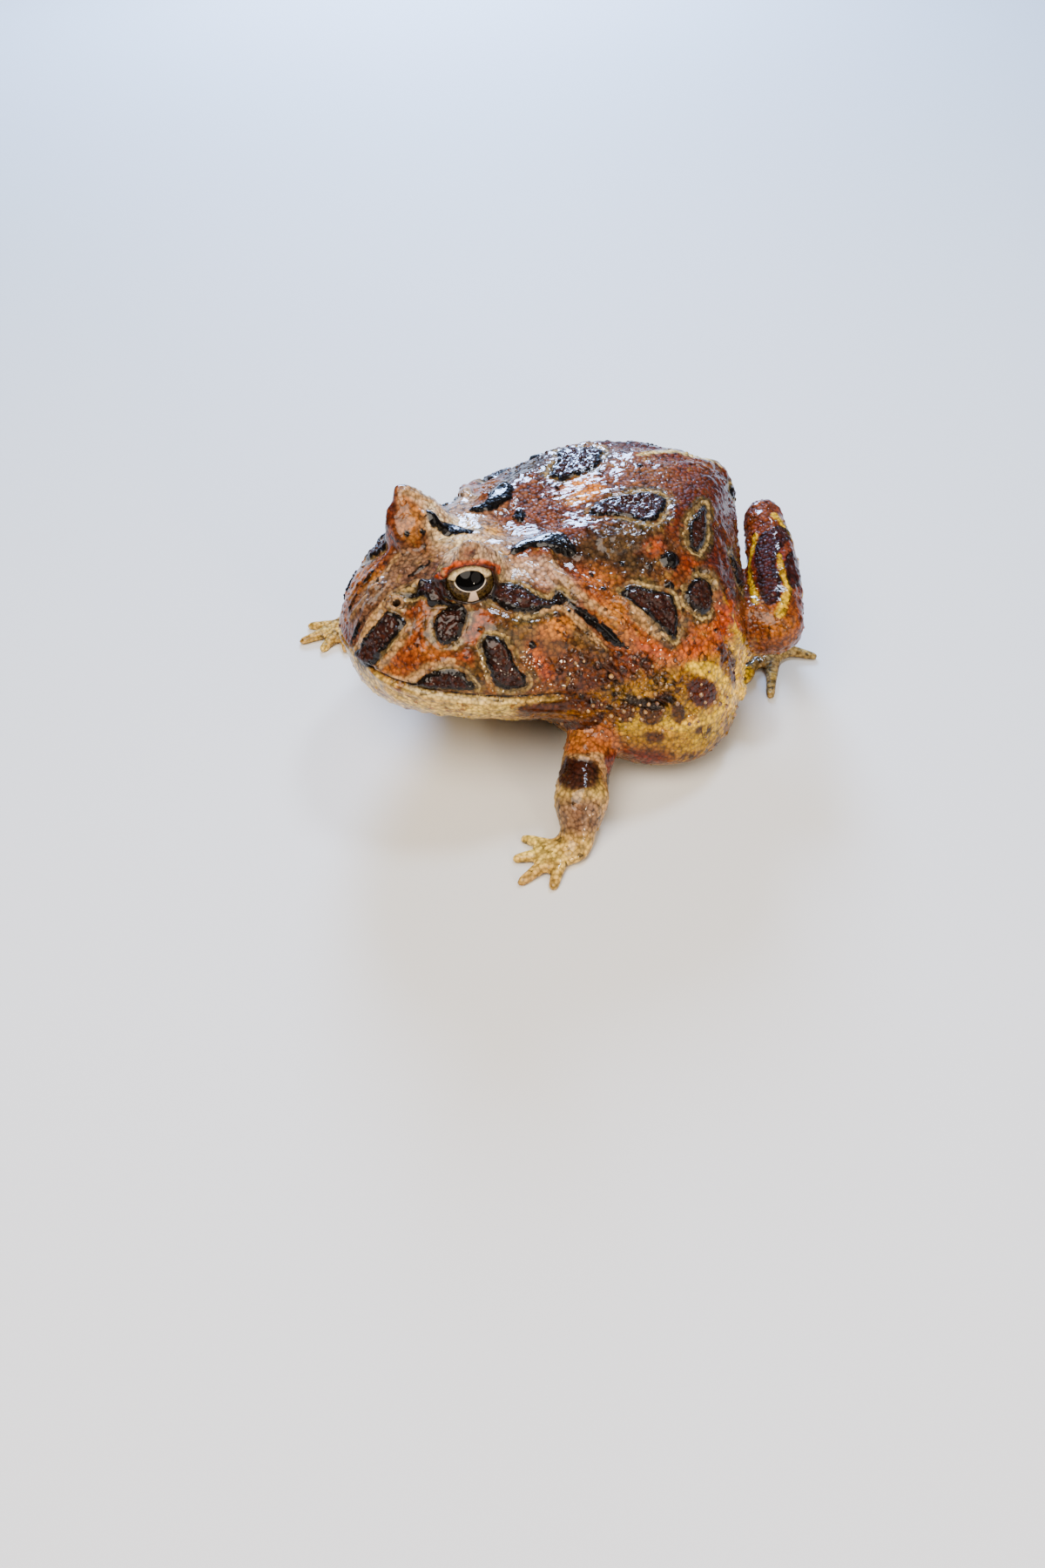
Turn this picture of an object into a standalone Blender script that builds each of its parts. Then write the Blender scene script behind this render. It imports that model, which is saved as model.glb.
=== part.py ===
"""Argentine horned frog, sitting, at life size.

The flesh is modelled whole: lofted forms for the trunk and the limbs, with ridges, lids and
webs laid into them, are fused by a voxel remesh and smoothed.  Thin cuts then part it where
a person would name its parts.  The frog faces -Y, its left side is +X, and it rests on z = 0.
Forms are written in millimetres and built in metres.
"""

import math

import bmesh
import bpy
import numpy as np
from mathutils import Matrix, Vector
from mathutils.bvhtree import BVHTree

MM = 0.001
SIDES = {"left": 1.0, "right": -1.0}

# Driving dimensions, in millimetres.
EYE_RADIUS = 3.75
SOCKET_CLEARANCE = 0.15
CUT_GAP = 0.3
VOXEL = 0.42
FLESH_TRIANGLES = 10400
SMOOTHING_ROUNDS = 7
NOSTRIL_RADIUS = 0.55
NOSTRIL_DEPTH = 1.4
NOSTRIL_RIM = (1.3, 1.3, 1.1)
NOSTRIL_LEAN = 28
LIP_RADIUS = 0.75
LIP_FROM_MOUTH = 0.85
ORBIT = (4.6, 4.7, 4.5)
ORBIT_BEHIND_EYE = 0.7
OPENING_HALF_SIZES = (3.6, 2.85, 3.6)
OPENING_FORWARD = 3.4
WEB_THICKNESS = 0.9
FLOOR_CUT_DEPTH = 10.0
FLOOR_CUT_WIDTH = 200.0
CREASE_ANGLE = 50
SKIN_ROUGHNESS = 0.35
EYE_ROUGHNESS = 0.1

# Trunk sections from snout to vent: place along the body, half width, height of the back,
# height of the underside, height of the widest point, and how square the upper and the
# lower half are (2 is an ellipse).
TRUNK = [
    (-35.0, 1.6, 21.8, 18.2, 20.4, 2.0, 2.0),
    (-34.6, 4.2, 23.6, 16.4, 20.4, 2.0, 2.0),
    (-33.7, 7.2, 25.4, 14.6, 20.2, 2.1, 1.9),
    (-31.8, 10.8, 27.6, 12.6, 19.9, 2.2, 1.8),
    (-28.6, 14.2, 29.8, 10.8, 19.5, 2.3, 1.7),
    (-24.3, 17.7, 31.8, 9.0, 18.8, 2.4, 1.7),
    (-18.5, 20.8, 33.4, 7.0, 17.8, 2.4, 1.7),
    (-11.5, 23.4, 33.8, 4.4, 15.0, 2.3, 1.7),
    (-4.5, 29.0, 33.8, 0.4, 8.2, 2.2, 2.6),
    (3.5, 32.6, 34.8, -0.9, 6.0, 2.1, 2.8),
    (11.5, 31.4, 35.6, -0.9, 6.6, 2.1, 2.7),
    (19.0, 25.6, 35.2, 0.6, 9.0, 2.1, 2.3),
    (25.5, 17.0, 33.6, 4.6, 13.4, 2.1, 2.0),
    (31.0, 8.8, 31.0, 10.6, 18.8, 2.0, 2.0),
    (34.2, 4.0, 28.8, 18.0, 23.0, 2.0, 2.0),
    (35.0, 1.4, 26.4, 21.0, 23.6, 2.0, 2.0),
]

# Left eyeball and horn tip, and the way the eye looks.
EYE = Vector((8.2, -19.8, 33.4))
GAZE = Vector((0.86, -0.42, 0.29)).normalized()
HORN_TIP = Vector((9.6, -20.2, 40.2))

# Line of the mouth: height at the front of the lip, fall along the jaw, where the neck begins.
MOUTH_FRONT = 21.6
MOUTH_FALL = 0.14
NECK = (0, -10.6, 17.0)
NECK_LEAN = 0.42

# Left nostril, and the height of the line inside the body from which places on its skin are found.
NOSTRIL = (2.5, -28.75, 29.6)
CORE_HEIGHT = 14.0

RING_POINTS = 44
ROUND_END = [(math.sin(a), math.cos(a)) for a in np.radians((80, 55, 28))]


def smooth_through(rows, steps):
    """Points on a Catmull-Rom curve through the rows, steps for each span."""
    rows = np.array(rows, float)
    held = np.vstack([2 * rows[0] - rows[1], rows, 2 * rows[-1] - rows[-2]])
    found = []
    for before, start, end, after in zip(held, held[1:], held[2:], held[3:]):
        for t in np.linspace(0, 1, steps, endpoint=False):
            found.append(
                start
                + 0.5 * t * (end - before)
                + 0.5 * t * t * (2 * before - 5 * start + 4 * end - after)
                + 0.5 * t**3 * (3 * start - before - 3 * end + after)
            )
    return np.array([*found, rows[-1]])


def shown(name, work):
    """The finished bmesh as an object of the scene."""
    mesh = bpy.data.meshes.new(name)
    work.to_mesh(mesh)
    work.free()
    obj = bpy.data.objects.new(name, mesh)
    bpy.context.scene.collection.objects.link(obj)
    return obj


def closed_loft(name, rings):
    """A closed mesh through rings of points in millimetres, with a fan over each end."""
    work = bmesh.new()
    loops = [[work.verts.new(Vector(p) * MM) for p in ring] for ring in rings]
    for near, far in zip(loops, loops[1:]):
        for i, start in enumerate(near):
            j = (i + 1) % len(near)
            work.faces.new((start, near[j], far[j], far[i]))
    for loop in (loops[0][::-1], loops[-1]):
        centre = work.verts.new(sum((v.co for v in loop), Vector()) / len(loop))
        for i, start in enumerate(loop):
            work.faces.new((start, loop[(i + 1) % len(loop)], centre))
    bmesh.ops.recalc_face_normals(work, faces=work.faces)
    return shown(name, work)


def trunk():
    """Head and torso in one loft of superellipse sections along Y."""
    rings = []
    turns = np.linspace(0, 2 * math.pi, RING_POINTS, endpoint=False)
    for y, half, top, bottom, widest, above, below in smooth_through(TRUNK, 4):
        ring = []
        for turn in turns:
            c, s = math.cos(turn), math.sin(turn)
            power, reach = (above, top - widest) if s > 0 else (below, widest - bottom)
            x = half * math.copysign(abs(c) ** (2 / power), c)
            z = widest + math.copysign(reach * abs(s) ** (2 / power), s)
            ring.append((x, y, z))
        rings.append(ring)
    return closed_loft("trunk", rings)


def tube(name, spine, radii, flatten=1.0, steps=5, points=16):
    """A round-ended tube through spine points, squeezed towards the ground by flatten."""
    course = smooth_through([(*p, r) for p, r in zip(spine, radii)], steps)
    centres, widths = course[:, :3], course[:, 3]
    runs = np.gradient(centres, axis=0)
    runs /= np.linalg.norm(runs, axis=1)[:, None]
    start = [(centres[0] - runs[0] * widths[0] * s, widths[0] * c, runs[0]) for s, c in ROUND_END]
    end = [(centres[-1] + runs[-1] * widths[-1] * s, widths[-1] * c, runs[-1]) for s, c in ROUND_END]
    rings = []
    for centre, radius, run in [*start, *zip(centres, widths, runs), *reversed(end)]:
        side = np.cross(run, (0, 0, 1))
        if np.linalg.norm(side) < 0.2:
            side = np.cross(run, (0, 1, 0))
        side /= np.linalg.norm(side)
        rise = np.cross(side, run)
        rings.append(
            [
                centre + radius * (math.cos(a) * side + flatten * math.sin(a) * rise)
                for a in np.linspace(0, 2 * math.pi, points, endpoint=False)
            ]
        )
    return closed_loft(name, rings)


def ball(name, centre, radii, turn=(0, 0, 0), points=28):
    """An ellipsoid of those three radii, turned by degrees about X, Y and Z."""
    work = bmesh.new()
    bmesh.ops.create_uvsphere(work, u_segments=points, v_segments=points // 2, radius=1.0)
    turned = Matrix.Rotation(math.radians(turn[2]), 4, "Z")
    turned @= Matrix.Rotation(math.radians(turn[1]), 4, "Y")
    turned @= Matrix.Rotation(math.radians(turn[0]), 4, "X")
    size = Matrix.Diagonal((*(Vector(radii) * MM), 1))
    work.transform(Matrix.Translation(Vector(centre) * MM) @ turned @ size)
    return shown(name, work)


def mirrored(points, side):
    return [Vector((p[0] * side, p[1], p[2])) for p in points]


def forelimb(side):
    """Upper arm, forearm, palm and the four fingers, turned a little inward."""
    arm = mirrored([(15, -1, 12), (21.2, -6.4, 8.8), (27, -13.2, 5.9)], side)
    forearm = mirrored([(27, -13.2, 5.9), (30.5, -16.2, 4.6), (33.3, -18.5, 2.4)], side)
    palm = mirrored([(33.3, -18.5, 2.0), (34.2, -20.4, 1.2), (34.0, -22.2, 0.9)], side)
    forms = [
        tube("arm", arm, (6.0, 4.5, 3.7)),
        tube("forearm", forearm, (3.7, 4.0, 2.7)),
        tube("palm", palm, (2.7, 3.0, 2.7), 0.55),
    ]
    wrist = Vector((34.1, -21.8, 0.85))
    for heading, length in ((-62, 5.6), (-26, 6.2), (8, 7.4), (42, 5.8)):
        turn = math.radians(heading)
        way = Vector((math.sin(turn), -math.cos(turn), 0))
        near = wrist + way * 0.8
        finger = [near, near + way * length / 2, near + way * length - Vector((0, 0, 0.35))]
        forms.append(tube("finger", mirrored(finger, side), (1.35, 1.1, 0.9), 0.9))
    return forms


def web(name, corners, side, thickness=WEB_THICKNESS):
    """A thin skin between two toes, over the corners given in order around it."""
    low = mirrored([(x, y, z - thickness / 2) for x, y, z in corners], side)
    high = [p + Vector((0, 0, thickness)) for p in low]
    return closed_loft(name, [low, high])


def hind_limb(side):
    """Folded thigh and shank, the heel by the vent, the foot flat with its toes spread."""
    thigh = mirrored([(10, 16, 12), (17, 20.8, 13), (24.4, 25.8, 15.2)], side)
    shank = mirrored([(24.4, 25.8, 15.2), (16.4, 32.0, 19.0), (7.4, 37.6, 22.0)], side)
    tarsus = mirrored([(7.2, 38.4, 20.4), (9.8, 39.8, 12.0), (13.6, 37.6, 3.9)], side)
    instep = mirrored([(13.6, 37.6, 3.2), (15.4, 35.4, 1.4)], side)
    forms = [
        tube("thigh", thigh, (6.2, 5.4, 4.5)),
        tube("shank", shank, (4.5, 4.1, 3.2)),
        tube("tarsus", tarsus, (2.8, 2.5, 2.6)),
        tube("instep", instep, (2.6, 2.9), 0.6),
    ]
    toes = (
        ((16.2, 36.6, 1.0), (20.8, 40.2, 0.45)),
        ((16.6, 34.8, 1.0), (24.4, 27.0, 0.45)),
        ((15.6, 33.8, 1.0), (18.6, 25.4, 0.45)),
        ((14.6, 34.0, 1.0), (13.4, 27.6, 0.45)),
        ((13.8, 34.8, 1.0), (9.4, 31.2, 0.45)),
    )
    for base, tip in toes:
        base, tip = Vector(base), Vector(tip)
        forms.append(tube("toe", mirrored([base, (base + tip) / 2, tip], side), (1.5, 1.15, 0.9), 0.8))
    for (base, tip), (other, far) in zip(toes, toes[1:]):
        near = Vector(base).lerp(Vector(tip), 0.55)
        beyond = Vector(other).lerp(Vector(far), 0.45)
        dip = (near + beyond) / 2 * 0.75 + (Vector(base) + Vector(other)) / 2 * 0.25
        corners = [Vector(base), near, dip, beyond, Vector(other)]
        forms.append(web("web", [(p.x, p.y, 0.75) for p in corners], side))
    return forms


def lid(side):
    """Upper eyelid drawn up into a blunt horn: steep in front and outside, long behind."""
    foot = Vector((7.1, EYE.y + 2.2, EYE.z + 0.2))
    rings = []
    for height, across, along in (
        (-0.2, 3.0, 4.0),
        (0.0, 3.6, 4.5),
        (0.22, 3.3, 4.2),
        (0.45, 2.6, 3.5),
        (0.66, 1.9, 2.6),
        (0.84, 1.3, 1.8),
        (0.95, 0.9, 1.1),
        (1.0, 0.4, 0.5),
    ):
        centre = foot.lerp(HORN_TIP, height)
        turns = np.linspace(0, 2 * math.pi, 20, endpoint=False)
        ring = [centre + Vector((across * math.cos(a), along * math.sin(a), 0)) for a in turns]
        rings.append(mirrored(ring, side))
    return closed_loft("lid", rings)


def skin_point(skin, x, y, z, sink=0.0):
    """Where a line from inside the body, through x, y, z at that section, leaves the skin."""
    middle = Vector((0, y, CORE_HEIGHT)) * MM
    way = (Vector((x, y, z)) * MM - middle).normalized()
    spot = middle
    while True:
        hit = skin.ray_cast(spot, way)[0]
        if hit is None:
            break
        spot = hit + way * 0.01 * MM
    return spot / MM - way * sink


def ridge(name, skin, places, side, radii, sink):
    """A raised line of skin laid along places on the trunk."""
    course = [skin_point(skin, x * side, y, z, sink) for x, y, z in places]
    return tube(name, course, radii, steps=4, points=10)


def mouth_height(y):
    return MOUTH_FRONT - MOUTH_FALL * (y + 35)


def head_forms(side, skin):
    """Lids over the eyes, nostril rims, lips, and the ridges of the head and shoulder."""
    eye, gaze = mirrored([EYE, GAZE], side)
    lips = [(0, -34.8), (4.4, -34.4), (9.0, -32.8), (13.6, -29.2)]
    lips += [(17.6, -24.2), (20.6, -18.5), (22.4, -12.0)]
    upper = [(x, y, mouth_height(y) + LIP_FROM_MOUTH) for x, y in lips]
    lower = [(x, y, mouth_height(y) - LIP_FROM_MOUTH) for x, y in lips]
    lip_radii = [LIP_RADIUS] * len(lips)
    canthus = [(6.2, -24.2, 31.5), (5.7, -26.0, 30.7), (5.2, -27.6, 29.8)]
    shoulder = [(8.5, -12.0, 32.4), (13.5, -6.0, 29.0), (18.5, 0.0, 24.5), (22.0, 5.0, 20.0)]
    fold = [(13.5, -14.5, 28.0), (17.5, -9.5, 24.5), (21.5, -5.5, 19.5), (25.0, -2.0, 14.0)]
    nostril = skin_point(skin, NOSTRIL[0] * side, *NOSTRIL[1:], 0.3)
    return [
        ball("orbit", eye - gaze * ORBIT_BEHIND_EYE, ORBIT),
        lid(side),
        ridge("upper lip", skin, upper, side, lip_radii, 0.35),
        ridge("lower lip", skin, lower, side, lip_radii, 0.35),
        ridge("canthus", skin, canthus, side, (1.5, 1.2, 0.6), 0.5),
        ridge("shoulder ridge", skin, shoulder, side, (0.5, 1.2, 1.2, 0.5), 0.35),
        ridge("ear fold", skin, fold, side, (0.5, 1.1, 1.1, 0.5), 0.4),
        ball("nostril rim", nostril, NOSTRIL_RIM),
    ]


def skin_tree(obj):
    """Search tree over the surface of one form."""
    mesh = obj.data
    return BVHTree.FromPolygons([v.co for v in mesh.vertices], [p.vertices for p in mesh.polygons])


def apply_modifiers(obj):
    """Replace the mesh of the object by what its modifiers make of it."""
    made = bpy.data.meshes.new_from_object(obj.evaluated_get(bpy.context.evaluated_depsgraph_get()))
    obj.modifiers.clear()
    obj.data = made


def fused(forms):
    """One closed skin over all the forms, smoothed and thinned to the triangle count."""
    work = bmesh.new()
    for form in forms:
        work.from_mesh(form.data)
        bpy.data.objects.remove(form)
    flesh = shown("flesh", work)
    remesh = flesh.modifiers.new("fuse", "REMESH")
    remesh.mode = "VOXEL"
    remesh.voxel_size = VOXEL * MM
    soften = flesh.modifiers.new("soften", "SMOOTH")
    soften.factor = 0.5
    soften.iterations = SMOOTHING_ROUNDS
    apply_modifiers(flesh)
    thin = flesh.modifiers.new("thin", "DECIMATE")
    thin.ratio = FLESH_TRIANGLES / (2 * len(flesh.data.polygons))
    apply_modifiers(flesh)
    return flesh


def slab(centre, normal, across, along, thickness=CUT_GAP):
    """A thin box square to the normal, to part the flesh there."""
    work = bmesh.new()
    bmesh.ops.create_cube(work, size=1.0)
    facing = Vector(normal).normalized().to_track_quat("Z", "Y").to_matrix().to_4x4()
    size = Matrix.Diagonal((across * MM, along * MM, thickness * MM, 1))
    work.transform(Matrix.Translation(Vector(centre) * MM) @ facing @ size)
    return shown("cutter", work)


def subtract(target, cutter):
    carve = target.modifiers.new("carve", "BOOLEAN")
    carve.operation = "DIFFERENCE"
    carve.solver = "EXACT"
    carve.object = cutter
    apply_modifiers(target)
    bpy.data.objects.remove(cutter)


def joint_cuts(side):
    """Centre, normal and size of every cut that parts a limb or a lid."""
    cuts = [
        ((24.1, -9.8, 7.4), (0.62, -0.7, -0.33), 11.5, 11.5),
        ((27.0, -13.2, 5.9), (0.7, -0.65, -0.3), 11.0, 11.0),
        ((33.0, -18.2, 2.6), (0.7, -0.65, -0.3), 9.0, 9.0),
        ((20.8, 23.5, 14.1), (0.66, 0.74, 0.1), 13.5, 16.0),
        ((23.8, 26.2, 15.4), (-0.04, 0.93, 0.36), 14.6, 13.0),
        ((7.6, 38.7, 20.9), (-0.51, 0.59, -0.63), 10.2, 10.9),
        ((8.4, -19.2, 34.8), (0.2, 0, 0.98), 13.0, 15.0),
    ]
    return [
        slab((c[0] * side, c[1], c[2]), (n[0] * side, n[1], n[2]), across, along)
        for c, n, across, along in cuts
    ]


def eye_opening(side):
    """Solid that opens the lids in front of the eyeball, wider than high."""
    eye, gaze = mirrored([EYE, GAZE], side)
    work = bmesh.new()
    bmesh.ops.create_uvsphere(work, u_segments=28, v_segments=16, radius=1.0)
    facing = gaze.to_track_quat("Z", "Y").to_matrix().to_4x4()
    size = Matrix.Diagonal((*(Vector(OPENING_HALF_SIZES) * MM), 1))
    work.transform(Matrix.Translation((eye + gaze * OPENING_FORWARD) * MM) @ facing @ size)
    return shown("cutter", work)


def eyeball(name, side, radius, across=20, high=14):
    work = bmesh.new()
    bmesh.ops.create_uvsphere(work, u_segments=across, v_segments=high, radius=radius * MM)
    eye, gaze = mirrored([EYE, GAZE], side)
    facing = gaze.to_track_quat("Z", "Y").to_matrix().to_4x4()
    work.transform(Matrix.Translation(eye * MM) @ facing)
    return shown(name, work)


def nostril_cutter(side, skin):
    pit = skin_point(skin, NOSTRIL[0] * side, *NOSTRIL[1:])
    sizes = (NOSTRIL_RADIUS, NOSTRIL_RADIUS * 1.3, NOSTRIL_DEPTH)
    return ball("cutter", pit, sizes, (NOSTRIL_LEAN, 0, 0), points=12)


def part_flesh(flesh, skin):
    """Flatten the underside, open sockets and nostrils, then part the body with thin cuts."""
    depth = FLOOR_CUT_DEPTH
    wide = FLOOR_CUT_WIDTH
    subtract(flesh, slab((0, 0, -depth / 2), (0, 0, 1), wide, wide, depth))
    for side in SIDES.values():
        subtract(flesh, eyeball("cutter", side, EYE_RADIUS + SOCKET_CLEARANCE))
        subtract(flesh, eye_opening(side))
        subtract(flesh, nostril_cutter(side, skin))
        for cutter in joint_cuts(side):
            subtract(flesh, cutter)
    tilt = (0, 1, -NECK_LEAN)
    upper, lower = Vector(NECK), Vector(NECK)
    upper += Vector((0, NECK_LEAN, 1)) * 15
    lower -= Vector((0, NECK_LEAN, 1)) * 7
    subtract(flesh, slab(upper, tilt, 70, 44))
    subtract(flesh, slab(lower, tilt, 43, 16))
    run = 40.0
    middle = NECK[1] - run / 2 + 1.2
    subtract(flesh, slab((0, middle, mouth_height(middle)), (0, MOUTH_FALL, 1), 80, run))


# A place inside each node, by which the parted bodies are told apart.
ANCHORS = {
    "head": (0, -24, 26),
    "lower_jaw": (0, -24, 13),
    "torso": (0, 8, 16),
}
SIDE_ANCHORS = {
    "horned_lid": (9, -20, 38),
    "upper_arm": (25.3, -11.4, 6.8),
    "forearm": (30, -15.8, 5),
    "hand": (34, -21, 1.4),
    "thigh": (22.6, 24.6, 14.6),
    "shank": (16.4, 32.0, 19),
    "foot": (13.6, 37.4, 4),
}


def loose_parts(flesh):
    """Every separate body in the mesh, as its own bmesh, largest first."""
    whole = bmesh.new()
    whole.from_mesh(flesh.data)
    whole.verts.index_update()
    seen = set()
    bodies = []
    for vert in whole.verts:
        if vert.index in seen:
            continue
        seen.add(vert.index)
        stack = [vert]
        island = []
        while stack:
            here = stack.pop()
            island.append(here)
            for edge in here.link_edges:
                other = edge.other_vert(here)
                if other.index not in seen:
                    seen.add(other.index)
                    stack.append(other)
        body = bmesh.new()
        copies = {v.index: body.verts.new(v.co) for v in island}
        faces = {f for v in island for f in v.link_faces}
        for face in sorted(faces, key=lambda f: f.index):
            body.faces.new([copies[v.index] for v in face.verts])
        bodies.append(body)
    whole.free()
    return sorted(bodies, key=lambda b: -b.calc_volume())


def named_nodes(bodies):
    """Give each body the name whose anchor point lies nearest to its surface or inside it."""
    places = {name: Vector(spot) * MM for name, spot in ANCHORS.items()}
    for side_name, side in SIDES.items():
        for name, spot in SIDE_ANCHORS.items():
            places[f"{name}_{side_name}"] = Vector((spot[0] * side, spot[1], spot[2])) * MM
    nodes = {}
    for name, place in places.items():
        ranked = []
        for body in bodies:
            tree = BVHTree.FromBMesh(body)
            spot, normal, _, distance = tree.find_nearest(place)
            inside = (place - spot).dot(normal) < 0
            ranked.append((-distance if inside else distance, len(ranked)))
        best = min(ranked)[1]
        nodes[name] = bodies[best]
    return nodes


# Base colours of the plain materials, linear red, green and blue.
SKIN_LOOKS = {
    "head": (0.42, 0.17, 0.08),
    "lower_jaw": (0.55, 0.42, 0.24),
    "torso": (0.40, 0.18, 0.09),
    "horned_lid": (0.50, 0.27, 0.14),
    "upper_arm": (0.42, 0.17, 0.07),
    "forearm": (0.36, 0.19, 0.11),
    "hand": (0.48, 0.33, 0.25),
    "thigh": (0.36, 0.13, 0.07),
    "shank": (0.30, 0.10, 0.07),
    "foot": (0.46, 0.38, 0.22),
}
EYE_LOOK = (0.45, 0.33, 0.14)


def material(name, colour, roughness):
    made = bpy.data.materials.new(name)
    made.use_nodes = True
    shader = made.node_tree.nodes["Principled BSDF"]
    shader.inputs["Base Color"].default_value = (*colour, 1)
    shader.inputs["Roughness"].default_value = roughness
    shader.inputs["Metallic"].default_value = 0.0
    return made


def finish(obj, colour, roughness):
    """Own material and smooth shading for one node."""
    obj.data.materials.clear()
    obj.data.materials.append(material(obj.name, colour, roughness))
    obj.data.shade_smooth()
    obj.data.set_sharp_from_angle(angle=math.radians(CREASE_ANGLE))


def settle():
    """Put the middle of the whole box over the origin, the floor staying at z = 0."""
    corners = [v.co for obj in bpy.data.objects for v in obj.data.vertices]
    low = Vector([min(c[i] for c in corners) for i in range(3)])
    high = Vector([max(c[i] for c in corners) for i in range(3)])
    shift = Vector((-(low.x + high.x) / 2, -(low.y + high.y) / 2, -low.z))
    for obj in bpy.data.objects:
        obj.data.transform(Matrix.Translation(shift))


def clear_scene():
    for old in list(bpy.data.objects):
        bpy.data.objects.remove(old)


def build():
    clear_scene()
    body = trunk()
    skin = skin_tree(body)
    forms = [body]
    for side in SIDES.values():
        forms += forelimb(side) + hind_limb(side) + head_forms(side, skin)
    flesh = fused(forms)
    part_flesh(flesh, skin)
    bodies = loose_parts(flesh)
    nodes = named_nodes(bodies)
    for name, node in nodes.items():
        obj = shown(name, node)
        look = SKIN_LOOKS[name.replace("_left", "").replace("_right", "")]
        finish(obj, look, SKIN_ROUGHNESS)
    bpy.data.objects.remove(flesh)
    for side_name, side in SIDES.items():
        finish(eyeball(f"eye_{side_name}", side, EYE_RADIUS), EYE_LOOK, EYE_ROUGHNESS)
    settle()


build()
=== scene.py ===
"""Argentine horned frog at life size: the looks of the still model.

A wet, warty skin in one piece with its marks, two eyes, spines on the flanks, and a plain studio.
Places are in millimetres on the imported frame: the frog faces -Y, its left side is +X.
"""

import math

import bmesh
import bpy
import numpy as np
from mathutils import Matrix, Vector
from mathutils.bvhtree import BVHTree
from mathutils.kdtree import KDTree


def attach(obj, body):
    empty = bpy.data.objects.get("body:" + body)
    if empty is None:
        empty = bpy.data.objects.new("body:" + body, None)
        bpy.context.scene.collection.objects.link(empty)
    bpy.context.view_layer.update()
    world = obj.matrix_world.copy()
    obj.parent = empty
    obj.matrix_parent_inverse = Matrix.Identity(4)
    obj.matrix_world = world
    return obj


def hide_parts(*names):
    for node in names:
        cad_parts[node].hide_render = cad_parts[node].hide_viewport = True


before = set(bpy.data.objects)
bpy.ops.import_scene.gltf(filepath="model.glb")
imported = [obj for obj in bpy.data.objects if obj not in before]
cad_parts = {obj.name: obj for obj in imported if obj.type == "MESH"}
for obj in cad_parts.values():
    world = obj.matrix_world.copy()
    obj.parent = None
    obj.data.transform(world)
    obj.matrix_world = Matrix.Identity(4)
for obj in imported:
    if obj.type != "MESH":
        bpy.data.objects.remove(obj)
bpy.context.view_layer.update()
MM = 0.001

# Camera.  A telephoto look down on the left side of the head; the frame is 1200 by 1800 px and
# the frog fills its middle.  Where marks are placed by a pixel, the same camera is used.
IMAGE_WIDE, IMAGE_HIGH = 1200, 1800
FOCAL_PX = 1400.0
CAMERA_TURN, CAMERA_RISE, CAMERA_ROLL = 57.87, 43.4, -2.28
AIM = Vector((17.94, -21.7, 0.0))
AIM_DISTANCE = 189.8
NEAREST_SEEN = 5.0


def direction(turn, rise):
    """Unit vector towards a turn and a rise in degrees; at turn 0 it lies before the frog."""
    turn, rise = math.radians(turn), math.radians(rise)
    return Vector(
        (math.sin(turn) * math.cos(rise), -math.cos(turn) * math.cos(rise), math.sin(rise))
    )


towards_camera = direction(CAMERA_TURN, CAMERA_RISE)
level_turn = (-towards_camera).to_track_quat("-Z", "Y")
camera_turn = level_turn @ Matrix.Rotation(math.radians(CAMERA_ROLL), 3, "Z").to_quaternion()
camera_spot = AIM + towards_camera * AIM_DISTANCE

camera = bpy.data.objects.new("camera", bpy.data.cameras.new("camera"))
camera.data.lens = camera.data.sensor_width * FOCAL_PX / IMAGE_HIGH
camera.data.clip_start = NEAREST_SEEN * MM
camera.location = camera_spot * MM
camera.rotation_mode = "QUATERNION"
camera.rotation_quaternion = camera_turn
bpy.context.scene.collection.objects.link(camera)
bpy.context.scene.camera = camera


def sight(px, py):
    """Direction from the camera through that pixel of the 1200 by 1800 frame."""
    across, down = px - IMAGE_WIDE / 2, py - IMAGE_HIGH / 2
    return (camera_turn @ Vector((across, -down, -FOCAL_PX))).normalized()


# Studio.  A pale matt floor that runs far back, an even pale surround, and five lights: a wide one
# over the head, a low fill, a tiny warm one for glints low on the flank, and a cool window and a
# cool skylight behind, which shine on the wet back.
FLOOR_REACH = 4000.0
FLOOR_COLOUR = "#D9D6D0"
SURROUND = ("#DCE3EA", 0.13)
LIGHTS = (
    # name, turn and rise in degrees, distance, width, watts, colour
    ("overhead", 25, 60, 420, 340, 3.0, "#FFF2E2"),
    ("fill", 100, 35, 480, 420, 1.0, "#FFF1E0"),
    ("glint", 82, 16, 420, 26, 0.7, "#FFE8C8"),
    ("window", 242, 28, 820, 244, 19.0, "#A6C8FF"),
    ("skylight", 200, 64, 430, 80, 1.5, "#CCE0FF"),
)


def linear(code):
    """An sRGB hex colour as linear red, green, blue and one."""
    shares = [int(code[i : i + 2], 16) / 255 for i in (1, 3, 5)]
    return (*[c / 12.92 if c <= 0.04045 else ((c + 0.055) / 1.055) ** 2.4 for c in shares], 1)


def add(tree, kind, links=None, **settings):
    """One node of a tree, with its settings, values and links; a node stands for its output."""
    made = tree.nodes.new(kind)
    for name, value in settings.items():
        setattr(made, name, value)
    for socket, value in (links or {}).items():
        if isinstance(value, bpy.types.Node):
            value = next(output for output in value.outputs if output.enabled)
        if isinstance(value, bpy.types.NodeSocket):
            tree.links.new(value, made.inputs[socket])
        else:
            made.inputs[socket].default_value = value
    return made


def new_material(name):
    """A material and its emptied node tree."""
    made = bpy.data.materials.new(name)
    made.use_nodes = True
    made.node_tree.nodes.clear()
    return made, made.node_tree


def place(name, mesh):
    """A new object for a mesh, at the origin."""
    made = bpy.data.objects.new(name, mesh)
    bpy.context.scene.collection.objects.link(made)
    return made


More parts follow.
